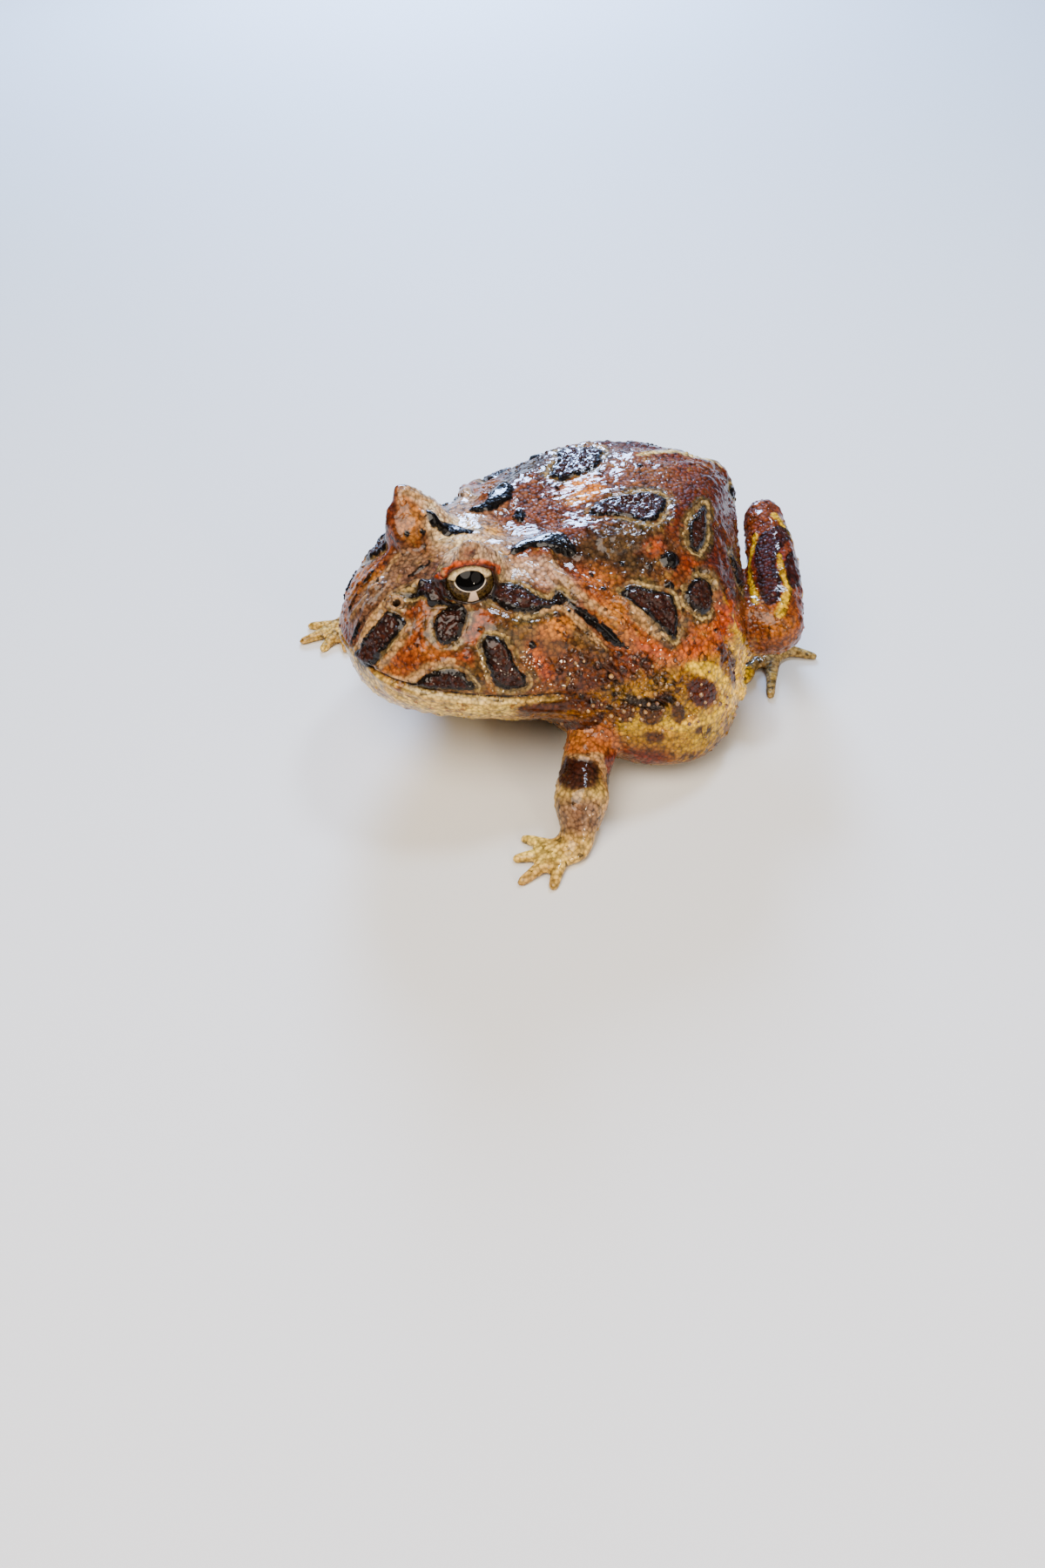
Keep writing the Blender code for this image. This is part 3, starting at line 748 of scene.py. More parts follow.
def patch_distance(points, ways, outline, field, facing=MARK_FACING, thick=MARK_THICK):
    """Lowers field to the signed distance from a closed outline lying on the skin."""
    outline = round_through(outline, True)
    middle = outline.mean(0)
    reach = np.linalg.norm(outline - middle, axis=1).max() + PATCH_MARGIN
    flat_x, flat_y, out = np.linalg.svd(outline - middle)[2]
    if sum(np.array(body_tree.find_nearest(Vector(p))[1]) @ out for p in outline) < 0:
        out = -out
    offset = points - middle
    close = (np.linalg.norm(offset, axis=1) < reach) & (np.abs(offset @ out) < thick)
    near = np.flatnonzero(close & (ways @ out > facing))
    if not len(near):
        return
    flat = np.array([flat_x, flat_y]).T
    local, ring = offset[near] @ flat, (outline - middle) @ flat
    ring_next = np.roll(ring, -1, axis=0)
    gap = near_segments(local, ring, ring_next)[0]
    x, y = local[:, 0, None], local[:, 1, None]
    crosses = (ring[:, 1] > y) != (ring_next[:, 1] > y)
    run, rise = (ring_next - ring).T
    rise = np.where(rise == 0, TINY, rise)
    inside = (crosses & (x < run * (y - ring[:, 1]) / rise + ring[:, 0])).sum(1) % 2
    signed = np.where(inside == 1, -gap, gap)
    field[near] = np.minimum(field[near], signed)


def stripe_distance(points, course, field):
    """Lowers field to the distance from the edge of a stripe with a width at each point."""
    course = round_through(course, False)
    middle = course[:, :3].mean(0)
    reach = np.linalg.norm(course[:, :3] - middle, axis=1).max() + STRIPE_MARGIN
    near = np.flatnonzero(np.linalg.norm(points - middle, axis=1) < reach)
    gap, best, along = near_segments(points[near], course[:-1, :3], course[1:, :3])
    width = course[best, 3] * (1 - along) + course[best + 1, 3] * along
    field[near] = np.minimum(field[near], gap - width / 2)


def spot_outline(middle, long, wide, turn):
    """A wobbling oval laid on the skin nearest to its middle."""
    near, out, _, _ = body_tree.find_nearest(Vector(middle))
    flat_x = out.cross(Vector((0, 0, 1))).normalized()
    flat_y = out.cross(flat_x)
    c, s = math.cos(math.radians(turn)), math.sin(math.radians(turn))
    twice, thrice = SPOT_WOBBLE
    found = []
    for k in range(SPOT_POINTS):
        a = 2 * math.pi * k / SPOT_POINTS
        wobble = 1 + twice * math.sin(2 * a + middle[1]) + thrice * math.sin(3 * a + middle[2])
        along, across = long * wobble * math.cos(a), wide * wobble * math.sin(a)
        spot = near + flat_x * (along * c - across * s) + flat_y * (along * s + across * c)
        found.append(body_tree.find_nearest(spot)[0])
    return np.array(found)


def in_view(outline):
    """Whether the frame's camera sees the middle of an outline."""
    middle = Vector(outline.mean(0))
    look = (middle - camera_spot).normalized()
    hit, way, _, _ = body_tree.ray_cast(camera_spot, look)
    return (hit - middle).length < SAME_PLACE and way.dot(look) < SEEN_FACING


MARKS = (
    # kind, marks, how far they are shifted in the frame
    ("dark", DARK_PATCHES, (0, 0)),
    ("leg", LEG_DARK, LEG_SHIFT),
    ("gloss", GLOSSY_PATCHES, (0, 0)),
    ("gloss", DARK_STRIPES, (0, 0)),
    ("pale", PALE_STRIPES, (0, 0)),
    ("lip", LIP_STRIPES, (0, 0)),
    ("yellow", YELLOW_STRIPES, (0, 0)),
    ("yellow", LEG_YELLOW, LEG_SHIFT),
    ("red", RED_PATCHES, (0, 0)),
    ("brown", BROWN_PATCHES, (0, 0)),
    ("bead", ARM_ROLLS, (0, 0)),
)
placed = {kind: [] for kind, _, _ in MARKS}


def put(kind, course, both_sides=True):
    """Keeps a mark, and one like it on the right side where it keeps clear of the middle."""
    placed[kind].append(course)
    if both_sides and course[:, 0].min() > CLEAR_OF_MIDDLE:
        placed[kind].append(far_side(course))


for kind, marks, shift in MARKS:
    for name, points in marks.items():
        put(kind, cast(points, shift), name not in NEAR_SIDE_ONLY)
for kind, spots_of_kind in (("dark", REAR_SPOTS), ("leg", LEG_SPOTS)):
    for middle, *sizes in spots_of_kind:
        for side in SIDES.values():
            outline = spot_outline((middle[0] * side, *middle[1:]), *sizes)
            if not in_view(outline):
                placed[kind].append(outline)
for kind, dots in DOTS.items():
    for px, py, width in dots:
        put(kind, cast(((px - 1, py, width), (px + 1, py + 1, width))))


def nostril_distance(points, side):
    """Distance from the axis of a nostril."""
    axis = nostril_way * (side, 1, 1)
    offset = points - nostril * (side, 1, 1)
    deep = offset @ axis
    gap = np.linalg.norm(offset - deep[:, None] * axis, axis=1)
    return np.where(np.abs(deep) < NOSTRIL_LENGTH, gap, FAR_AWAY)


def mark_fields(points, ways):
    """The distance field of every kind of mark over the skin."""
    fields = {}
    for kind, courses in placed.items():
        field = np.full(len(points), FAR_AWAY)
        for course in courses:
            if course.shape[1] == 3:
                patch_distance(points, ways, course, field)
            else:
                stripe_distance(points, course, field)
        fields[kind] = field
    for kind in ("lid", "lid_shade", "socket", "nostril"):
        fields[kind] = np.full(len(points), FAR_AWAY)
    for side in SIDES.values():
        centre, gaze, _, up = (np.array(part) for part in eye_frame(side))
        seen = np.flatnonzero(ways @ gaze > LID_FACING)
        gap = np.full(len(seen), FAR_AWAY)
        margin = [np.array(p) for p in lid_course(side, True)]
        band = [[*p, LID_BAND] for p in margin[0 if side > 0 else FAR_LID_FROM :]]
        stripe_distance(points[seen], np.array(band), gap)
        fields["lid"][seen] = np.minimum(fields["lid"][seen], gap)
        shade = [[*(p - up * LID_SHADE_DROP), LID_SHADE] for p in margin[1:-1]]
        stripe_distance(points, np.array(shade), fields["lid_shade"])
        # A dark band painted as the shade in the recess where the skin meets each eyeball.
        gap = np.linalg.norm(points - centre, axis=1) - EYE_RADIUS
        fields["socket"] = np.minimum(fields["socket"], gap)
        fields["nostril"] = np.minimum(fields["nostril"], nostril_distance(points, side))
    return fields


# Relief of the skin: a groove along the mouth, marks standing a little proud, and rounded warts
# of several sizes, thick on the back and flanks and finer on the head and limbs.
MOUTH_FRONT, MOUTH_FALL, SNOUT_Y, MOUTH_BACK_Y = 21.6, 0.14, -38.4, -16.0
MOUTH_DEPTH, MOUTH_HALF_WIDTH, MOUTH_FACING = 0.9, 0.45, 0.93
RISES = (
    # marks, how high they stand, and from their edge: where that is full and where it ends
    ("dark", 0.22, -0.7, 0.1),
    ("gloss", 0.6, -0.75, 0.2),
    ("bead", 0.9, -0.7, 0.25),
    ("pale", 0.12, -0.4, 0.3),
)
# Ridges and grooves beside an edge: height, how far from it, how wide.
RIM_GROOVE = (-0.16, 0.2, 0.3)
NOSTRIL_RIM = (0.35, 0.95, 0.4)
NOSTRIL_DEPTH, NOSTRIL_FLOOR, NOSTRIL_EDGE = 1.1, 0.25, 0.75
WART_SEED = 7
WARTS = (
    # where, how many, smallest and largest radius, height as a share of the radius
    ("patches", 700, 0.5, 0.9, 0.5),
    ("all over", 2600, 0.45, 0.65, 0.26),
    ("all over", 1300, 0.65, 1.05, 0.26),
    ("all over", 320, 1.05, 1.7, 0.24),
)
WART_SPREAD, WART_REACH = 0.72, 1.6
PATCH_INSIDE = -0.4
BARE_LIPS, BARE_LIPS_WIDTH = 0.85, 1.2
BARE_ROUND_EYE, PATCH_BARE_ROUND_EYE = (4.2, 5.6), (4.0, 4.6)
BARE_NEAR_FLOOR = (0.8, 2.0)
LOWEST = 0.02


def step(values, low, high):
    """Smooth rise from 0 at low to 1 at high."""
    share = np.clip((values - low) / (high - low), 0, 1)
    return share * share * (3 - 2 * share)


def above_mouth(points):
    """Signed height above the plane of the mouth."""
    slope = math.hypot(1, MOUTH_FALL)
    return (points[:, 2] - MOUTH_FRONT + MOUTH_FALL * (points[:, 1] - SNOUT_Y)) / slope


def bell(values, middle, width):
    """1 at the middle, falling off to both sides over the width."""
    return np.exp(-(((values - middle) / width) ** 2))


def gap_to_eyes(points):
    """Distance from each point to the middle of the nearer eye."""
    middles = [np.array(eye_frame(side)[0]) for side in SIDES.values()]
    return np.min([np.linalg.norm(points - middle, axis=1) for middle in middles], axis=0)


def wartiness(points, ways):
    """How likely a wart is: high on the back and flanks, low on snout, belly, throat and toes."""
    x, y, z = points.T
    back = step(y, -10, 0) * step(z, 8, 14)
    head = 0.28 * (1 - step(y, -22, -10)) * step(above_mouth(points), 1.5, 4)
    limbs = 0.3 * step(z, 2.5, 5) * step(np.abs(x), 18, 24)
    belly = 0.12 * step(-ways[:, 2], 0.0, 0.5)
    corner = 0.9 * bell(np.abs(x), 24, 7) * bell(y, -10, 7) * bell(z, 17, 6)
    return np.clip(np.maximum.reduce([back, head, limbs, belly, corner]), 0, 1)


nostril = on_skin(*NOSTRIL)
nostril_way = ways[np.linalg.norm(spots - nostril, axis=1).argmin()]
fields = mark_fields(spots, ways)
height = np.zeros(len(spots))
front = 1 - step(spots[:, 1], MOUTH_BACK_Y - 2, MOUTH_BACK_Y)
mouth_gap = np.abs(above_mouth(spots))
lateral = (spots[:, 1] > SNOUT_Y - 2) * (np.abs(ways[:, 2]) < MOUTH_FACING)
height -= MOUTH_DEPTH * front * lateral * bell(mouth_gap, 0, MOUTH_HALF_WIDTH)
for kind, rise, full, ends in RISES:
    height += rise * (1 - step(fields[kind], full, ends))
height += RIM_GROOVE[0] * bell(fields["dark"], *RIM_GROOVE[1:])
for rise, soft, points in FOLDS:
    course = cast(points)
    for line in (course, far_side(course)):
        gap = np.full(len(spots), FAR_AWAY)
        stripe_distance(spots, line, gap)
        height += rise * bell(np.maximum(gap, 0), 0, soft)
for side in SIDES.values():
    gap = nostril_distance(spots, side)
    height += NOSTRIL_RIM[0] * bell(gap, *NOSTRIL_RIM[1:])
    height -= NOSTRIL_DEPTH * (1 - step(gap, NOSTRIL_FLOOR, NOSTRIL_EDGE))

dice = np.random.default_rng(WART_SEED)
chance = wartiness(spots, ways)
chance *= 1 - BARE_LIPS * bell(mouth_gap, 0, BARE_LIPS_WIDTH) * front
eye_gap = gap_to_eyes(spots)
chance *= step(eye_gap, *BARE_ROUND_EYE)
chance *= step(spots[:, 2], *BARE_NEAR_FLOOR)
finder = KDTree(len(spots))
for i, spot in enumerate(spots):
    finder.insert(spot, i)
finder.balance()
wart = np.zeros(len(spots))
in_patch = (fields["dark"] < PATCH_INSIDE) * step(eye_gap, *PATCH_BARE_ROUND_EYE)
chances = {"patches": in_patch / in_patch.sum(), "all over": chance / chance.sum()}
for where, count, small, large, share in WARTS:
    picked = dice.choice(len(spots), count, replace=False, p=chances[where])
    for centre, radius in zip(picked, dice.uniform(small, large, count)):
        for _, i, gap in finder.find_range(spots[centre], radius * WART_REACH):
            rise = math.exp(-((gap / (radius * WART_SPREAD)) ** 2)) * radius * share
            wart[i] = max(wart[i], rise)
height += wart
moved = spots + ways * height[:, None]
moved[:, 2] = np.maximum(moved[:, 2], LOWEST)
move_to(skin.data, moved)

thin = skin.modifiers.new("thin", "DECIMATE")
thin.ratio = min(1.0, SKIN_TRIANGLES / (2 * len(skin.data.polygons)))
settle(skin)
skin.data.shade_smooth()
skin.name = "skin"

# What each point of the skin knows: its distances from the marks, and how much it belongs to the
# throat and belly, the back, the face and the limbs.  Each share rises or falls between two
# places along an axis, in mm.
BELLY_LINE, BELLY_WAVE, WAVE_PER_MM, WAVE_START = 9.5, 3.0, 0.21, 0.6
spots, ways = places_of(skin.data)
fields = mark_fields(spots, ways)
x, y, z = spots.T
in_front = 1 - step(y, -19, -14)
below_lip = 1 - step(above_mouth(spots), -0.6, 0.0)
belly_top = BELLY_LINE + BELLY_WAVE * np.sin(y * WAVE_PER_MM + WAVE_START)
under_body = (1 - step(z, belly_top - 4, belly_top + 3)) * (1 - in_front)
limb = step(np.abs(x), 20, 24) * (1 - step(z, 10, 13)) * (1 - step(y, -6, 0))
hind = step(y, 31, 34) + step(np.abs(x), 12, 15) * step(y, 22, 26) * step(z, 8, 12)
out_at_foot = np.abs(x) + np.maximum(y, 0) * 0.4
feet = step(out_at_foot, 24, 27) * (1 - step(z, 3, 5))
legs = np.clip(limb + np.clip(hind, 0, 1) + feet, 0, 1)
fields["under"] = np.maximum(in_front * below_lip, under_body) * (1 - legs)
fields["under"] = np.maximum(fields["under"], 0.8 * legs * step(-ways[:, 2], 0.3, 0.8))
fields["mouth"] = np.where(in_front > 0.02, np.abs(above_mouth(spots)), FAR_AWAY)

# Ground colours of the parts of the body, over the colour of the flanks.
FLANK, RED, RED_SHARE = "#70320E", "#AE3A0C", 0.65
ZONES = (
    ("#80461C", in_front),  # face
    ("#682E12", step(z, 22, 31)),  # back
    ("#642414", legs),
    ("#A08148", (1 - step(z, 1.5, 4.5)) * step(out_at_foot, 22, 26)),  # toes
    ("#8C6006", fields["under"]),
    ("#CDA24C", in_front * below_lip),  # chin
)


def tinted(colours, code, share):
    """Colours drawn towards one colour, by a share for each point."""
    return colours + (np.array(linear(code)[:3]) - colours) * share[:, None]


ground = np.tile(np.array(linear(FLANK)[:3]), (len(spots), 1))
mottled = 0.75 * (1 - 0.5 * legs) + 0.3 * fields["under"]
for code, share in ZONES:
    ground = tinted(ground, code, share)
for code, soft, dark_share, outline in TINTS.values():
    course = cast(outline)
    gap = np.full(len(spots), FAR_AWAY)
    patch_distance(spots, ways, course, gap, CLOUD_FACING, CLOUD_THICK)
    if course[:, 0].min() > 0:
        patch_distance(spots, ways, far_side(course), gap, CLOUD_FACING, CLOUD_THICK)
    share = 1 - step(gap, -soft / 2, soft / 2)
    ground = tinted(ground, code, share)
    mottled += (dark_share - mottled) * share
ground = tinted(ground, RED, RED_SHARE * (1 - step(fields["red"], -1.0, 0.9)))
fields["mottled"] = mottled

# Granules.  How thick they stand and how large they are, and where horny spines sit among them:
# on the flanks and round the corner of the mouth.
clear_of_eye = step(gap_to_eyes(spots), 4.6, 6.0)
clear_of_mouth = 1 - in_front * bell(above_mouth(spots), 0, 1.3)
in_patch = 1 - step(fields["dark"], -0.5, 0.1)
wet_lump = 1 - step(np.minimum(fields["gloss"], fields["bead"]), -0.1, 0.4)
back_share = step(y, -20, -8) * step(z, 7, 12)
corner = bell(np.abs(x), 26, 5) * bell(y, -9, 7) * bell(z, 14, 7)
side_row = 0.25 * bell(z, 15, 6) * step(y, -12, -6) * (1 - step(y, 14, 24))
cheek = 0.6 * in_front * (1 - below_lip) * (1 - step(z, 20, 27))
fields["rugged"] = np.clip(1.2 * corner + 2.4 * side_row + cheek, 0, 1) * (1 - legs)
grains = 0.04 + 0.12 * back_share + 0.25 * step(mottled, 0.6, 1.0) + 0.4 * fields["rugged"]
grains = np.maximum(grains * (1 - step(fields["pale"], 0.6, -0.2)), 0.85 * in_patch)
grains *= (1 - 0.8 * wet_lump) * (1 - 0.8 * fields["under"]) * clear_of_eye * clear_of_mouth
grains *= step(z, 1.0, 3.0)
fields["grains"] = grains
fields["spiny"] = np.clip(corner * 1.2 + side_row, 0, 1) * (fields["dark"] > 0) * (1 - legs)
fields["spiny"] *= step(z, 2.0, 4.0)
stored = skin.data.attributes.new("ground", "FLOAT_COLOR", "POINT")
coloured = np.column_stack([ground, np.ones(len(ground))])
stored.data.foreach_set("color", coloured.astype(np.float32).ravel())
for name, values in fields.items():
    stored = skin.data.attributes.new(name, "FLOAT", "POINT")
    stored.data.foreach_set("value", values.astype(np.float32))

# Wet frog skin: thin, moist and slightly see-through, so light softens in it, and slick with
# slime, which gives small bright glints on every granule.
GROUND = (
    # attribute, where the colour is absent and where it is full, colour, how much
    ("dark", 2.0, 1.3, "#463A1C", 0.8),
    ("dark", 0.95, 0.72, "#A08450", 0.9),
    ("dark", 0.5, 0.3, "#3A2C14", 0.75),
    ("yellow", 0.5, -0.2, "#D8AA00", 0.95),
    ("brown", 0.5, -0.4, "#3C1402", 0.92),
    ("pale", 0.3, -0.15, "#A87E4E", 0.9),
    ("lip", 0.3, -0.1, "#D4B46C", 0.9),
    ("leg", 0.2, -0.1, "#160806", 0.9),
    ("leg", -0.45, -0.9, "#3A140C", 0.8),
    ("dark", 0.12, -0.12, "#0C0502", 1.0),
    ("dark", -0.45, -0.85, "#34160C", 0.85),
    # dark beads, and painted shade on the arm's rolls
    ("bead", 0.3, -0.1, "#120703", 0.95),
    ("gloss", 0.2, -0.1, "#080402", 1.0),
    ("lid", 0.25, -0.15, "#B8440A", 0.92),
    ("lid_shade", 0.3, 0.0, "#3A1004", 0.95),
    # painted shade in the recess round each eye
    ("socket", 0.62, 0.36, "#1A0904", 0.95),
    ("nostril", 1.35, 1.05, "#A87C50", 0.8),
    # painted shade inside the hole of each nostril
    ("nostril", 0.72, 0.55, "#0C0502", 0.95),
    # painted shade in the slit of the mouth, over its groove
    ("mouth", 0.30, 0.10, "#100703", 0.95),
)
EDGE_NOISE_MM, EDGE_NOISE_SIZE_MM = 0.45, 1.2
HALO_MM = 3.6
GRAIN_STEP_MM = 0.2
GRANULE_MM, PORE_MM, MOTTLE_MM, CLOUD_MM = 0.62, 0.2, 2.6, 8.0
BROWN, TAN, SPECK = "#9A6A38", "#8E6A2E", "#170C06"
UNEVEN_EDGES = ("dark", "leg", "gloss", "pale", "lip", "yellow", "brown")

wet_skin, tree = new_material("wet_frog_skin")
where = add(tree, "ShaderNodeTexCoord").outputs["Object"]
noise = {}
for name, size, detail, rough in (
    ("cloud", CLOUD_MM, 5.0, 0.6),
    ("mottle", MOTTLE_MM, 5.0, 0.7),
    ("patchy", HALO_MM, 2.0, 0.5),
    ("edge", EDGE_NOISE_SIZE_MM, 3.0, 0.5),
    ("pores", PORE_MM, 3.0, 0.5),
):
    values = {"Vector": where, "Scale": 1000 / size, "Detail": detail, "Roughness": rough}
    noise[name] = add(tree, "ShaderNodeTexNoise", values)
values = {"Vector": where, "Scale": 1000 / GRANULE_MM}
granules = add(tree, "ShaderNodeTexVoronoi", values, feature="F1")
grain_kind = add(tree, "ShaderNodeSeparateColor", {"Color": granules.outputs["Color"]}).outputs
ranges = {}
for name, value, start, end, low, high, ease in (
    # name, what is measured, from and to there, from and to in the result, how it rises
    ("uneven", noise["edge"], 0, 1, -EDGE_NOISE_MM, EDGE_NOISE_MM, "LINEAR"),
    ("drift", noise["cloud"], 0.3, 0.7, 0.49, 0.52, "LINEAR"),
    ("light", noise["cloud"], 0.3, 0.7, 0.75, 1.3, "LINEAR"),
    ("brown", noise["mottle"], 0.5, 0.62, 0, 0.85, "SMOOTHSTEP"),
    ("tan", noise["mottle"], 0.42, 0.34, 0, 0.6, "SMOOTHSTEP"),
    ("rough", noise["mottle"], 0, 1, 0.35, 0.6, "LINEAR"),
    ("halo", noise["patchy"], 0.4, 0.56, 0.12, 1, "LINEAR"),
    ("step", grain_kind[0], 0, 1, -GRAIN_STEP_MM / 2, GRAIN_STEP_MM / 2, "LINEAR"),
    ("own_tone", grain_kind[1], 0, 1, 0.62, 1.38, "LINEAR"),
    ("speck", grain_kind[2], 0.96, 0.97, 0, 0.75, "LINEAR"),
    # painted shade: darker in the creases between granules, a little lighter on their tops
    ("crease", granules, 0.3, 0.75, 1.1, 0.48, "LINEAR"),
):
    values = {"Value": value, "From Min": start, "From Max": end, "To Min": low, "To Max": high}
    ranges[name] = add(tree, "ShaderNodeMapRange", values, interpolation_type=ease)

ground = add(tree, "ShaderNodeAttribute", attribute_name="ground").outputs["Color"]
values = {"Hue": ranges["drift"], "Value": ranges["light"], "Color": ground}
colour = add(tree, "ShaderNodeHueSaturation", values)
mottling = add(tree, "ShaderNodeAttribute", attribute_name="mottled").outputs["Fac"]
for name, code, blend in (("brown", BROWN, "MULTIPLY"), ("tan", TAN, "MIX")):
    share = add(tree, "ShaderNodeMath", {0: ranges[name], 1: mottling}, operation="MULTIPLY")
    mixed = {0: share, 6: colour, 7: linear(code)}
    colour = add(tree, "ShaderNodeMix", mixed, data_type="RGBA", blend_type=blend)
wobble = add(tree, "ShaderNodeMath", {0: ranges["uneven"], 1: ranges["step"]}, operation="ADD")
known = {}
for name, absent, full, code, share in GROUND:
    if name not in known:
        known[name] = add(tree, "ShaderNodeAttribute", attribute_name=name).outputs["Fac"]
        if name in UNEVEN_EDGES:
            shifted = {0: known[name], 1: wobble}
            known[name] = add(tree, "ShaderNodeMath", shifted, operation="ADD")
    mask = add(
        tree,
        "ShaderNodeMapRange",
        {"Value": known[name], "From Min": absent, "From Max": full, "To Max": share},
        interpolation_type="SMOOTHSTEP",
    )
    if name == "dark" and full > 0.2:
        faded = {0: mask, 1: ranges["halo"]}
        mask = add(tree, "ShaderNodeMath", faded, operation="MULTIPLY")
    mixed = {0: mask, 6: colour, 7: linear(code)}
    colour = add(tree, "ShaderNodeMix", mixed, data_type="RGBA")

# Each granule's own tone, then painted shade in the creases between granules, with their tops
# painted a little lighter.
for name in ("own_tone", "crease"):
    mixed = {0: 1.0, 6: colour, 7: ranges[name]}
    colour = add(tree, "ShaderNodeMix", mixed, data_type="RGBA", blend_type="MULTIPLY")
mixed = {0: ranges["speck"], 6: colour, 7: linear(SPECK)}
colour = add(tree, "ShaderNodeMix", mixed, data_type="RGBA")

dome = add(tree, "ShaderNodeMath", {0: granules, 1: granules}, operation="MULTIPLY")
beads = add(
    tree,
    "ShaderNodeBump",
    {"Height": dome, "Strength": 0.8, "Distance": 0.4 * MM},
    invert=True,
)
fine = add(
    tree,
    "ShaderNodeBump",
    {"Height": noise["pores"], "Strength": 0.5, "Distance": 0.12 * MM, "Normal": beads},
)
rugged = add(tree, "ShaderNodeAttribute", attribute_name="rugged").outputs["Fac"]
film_strength = add(tree, "ShaderNodeMath", {0: rugged, 1: 0.45, 2: 0.13}, operation="MULTIPLY_ADD")
film = add(
    tree,
    "ShaderNodeBump",
    {"Height": dome, "Strength": film_strength, "Distance": 0.3 * MM},
    invert=True,
)
slick = add(
    tree,
    "ShaderNodeBsdfPrincipled",
    {
        "Base Color": colour,
        "Roughness": ranges["rough"],
        "IOR": 1.4,
        "Specular IOR Level": 0.05,
        "Subsurface Weight": 0.03,
        "Subsurface Radius": (1.0, 0.4, 0.2),
        "Subsurface Scale": 0.8 * MM,
        "Coat Weight": 0.58,
        "Coat Roughness": 0.1,
        "Coat IOR": 1.42,
        "Coat Normal": film,
        "Normal": fine,
    },
)
add(tree, "ShaderNodeOutputMaterial", {"Surface": slick})
skin.data.materials.clear()
skin.data.materials.append(wet_skin)
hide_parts(*flesh_names)
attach(skin, "root")

# Granules and spines.  Rounded granules stand on the skin and take its colour where they stand;
# pale horny spines sit on the flanks and round the mouth's corner.  Each kind is one low form,
# scattered by the skin's own measure of how thick it stands.
FORM_POINTS = 7
MOST_PER_SQUARE_METRE = 4.0e6
SCATTERED = (
    # name, profile of one form, the skin's measure, spacing, smallest and largest size, seed
    ("granules", ((1.0, -0.3), (0.8, 0.24), (0, 0.5)), "grains", 0.6, 0.18, 0.40, 3),
    ("spines", ((1.0, -0.3), (0.82, 0.3), (0.45, 0.7), (0, 0.95)), "spiny", 1.25, 0.2, 0.46, 5),
)


def low_form(name, profile):
    """A small closed-topped form of revolution, one unit wide at the foot, turned about Z."""
    work = bmesh.new()
    turns = [2 * math.pi * k / FORM_POINTS for k in range(FORM_POINTS)]
    loops = [
        [work.verts.new((r * math.cos(t), r * math.sin(t), h)) for t in turns]
        for r, h in profile[:-1]
    ]
    peak = work.verts.new((0, 0, profile[-1][1]))
    join_loops(work, loops)
    for i, start in enumerate(loops[-1]):
        work.faces.new((start, loops[-1][(i + 1) % FORM_POINTS], peak))
    return place(name, mesh_of(work, name))


def scatter_tree(name):
    """Scatters a form over a surface: spacing, sizes, the attribute that says how thick, seed."""
    tree = bpy.data.node_groups.new(name, "GeometryNodeTree")
    for label, kind in (
        ("Surface", "NodeSocketGeometry"),
        ("Form", "NodeSocketObject"),
        ("Finish", "NodeSocketMaterial"),
        ("Thickness", "NodeSocketString"),
        ("Spacing", "NodeSocketFloat"),
        ("Smallest", "NodeSocketFloat"),
        ("Largest", "NodeSocketFloat"),
        ("Seed", "NodeSocketInt"),
    ):
        tree.interface.new_socket(label, in_out="INPUT", socket_type=kind)
    tree.interface.new_socket("Forms", in_out="OUTPUT", socket_type="NodeSocketGeometry")
    given = add(tree, "NodeGroupInput").outputs
    thick = add(
        tree,
        "GeometryNodeInputNamedAttribute",
        {"Name": given["Thickness"]},
        data_type="FLOAT",
    )
    points = add(
        tree,
        "GeometryNodeDistributePointsOnFaces",
        {
            "Mesh": given["Surface"],
            "Distance Min": given["Spacing"],
            "Density Max": MOST_PER_SQUARE_METRE,
            "Density Factor": thick,
            "Seed": given["Seed"],
        },
        distribute_method="POISSON",
    )
    form = add(tree, "GeometryNodeObjectInfo", {"Object": given["Form"]})
    size = add(
        tree,
        "FunctionNodeRandomValue",
        {2: given["Smallest"], 3: given["Largest"], "Seed": given["Seed"]},
        data_type="FLOAT",
    )
    stand = add(
        tree,
        "GeometryNodeInstanceOnPoints",
        {
            "Points": points.outputs["Points"],
            "Instance": form.outputs["Geometry"],
            "Rotation": points.outputs["Rotation"],
            "Scale": size.outputs[1],
        },
    )
    real = add(tree, "GeometryNodeRealizeInstances", {"Geometry": stand})
    soft = add(tree, "GeometryNodeSetShadeSmooth", {"Geometry": real})
    done = add(tree, "GeometryNodeSetMaterial", {"Geometry": soft, "Material": given["Finish"]})
    add(tree, "NodeGroupOutput", {"Forms": done})
    return tree


def set_ramp(node, *stops):
    """Sets the two stops of a colour ramp."""
    for element, (position, code) in zip(node.color_ramp.elements, stops):
        element.position, element.color = position, linear(code)


# Horn of the spines: dry-looking, waxy, cream to tan.
HORN_TONE_MM = 2.5
horn, tree = new_material("waxy_horn")
where = add(tree, "ShaderNodeTexCoord").outputs["Object"]
tone = add(
    tree,
    "ShaderNodeTexNoise",
    {"Vector": where, "Scale": 1000 / HORN_TONE_MM, "Detail": 2.0},
)
shade = add(tree, "ShaderNodeValToRGB", {"Fac": tone})
set_ramp(shade, (0.4, "#4A2610"), (0.62, "#A0763F"))
waxy = add(
    tree,
    "ShaderNodeBsdfPrincipled",
    {
        "Base Color": shade,
        "Roughness": 0.3,
        "IOR": 1.5,
        "Coat Weight": 0.8,
        "Coat Roughness": 0.08,
    },
)
add(tree, "ShaderNodeOutputMaterial", {"Surface": waxy})

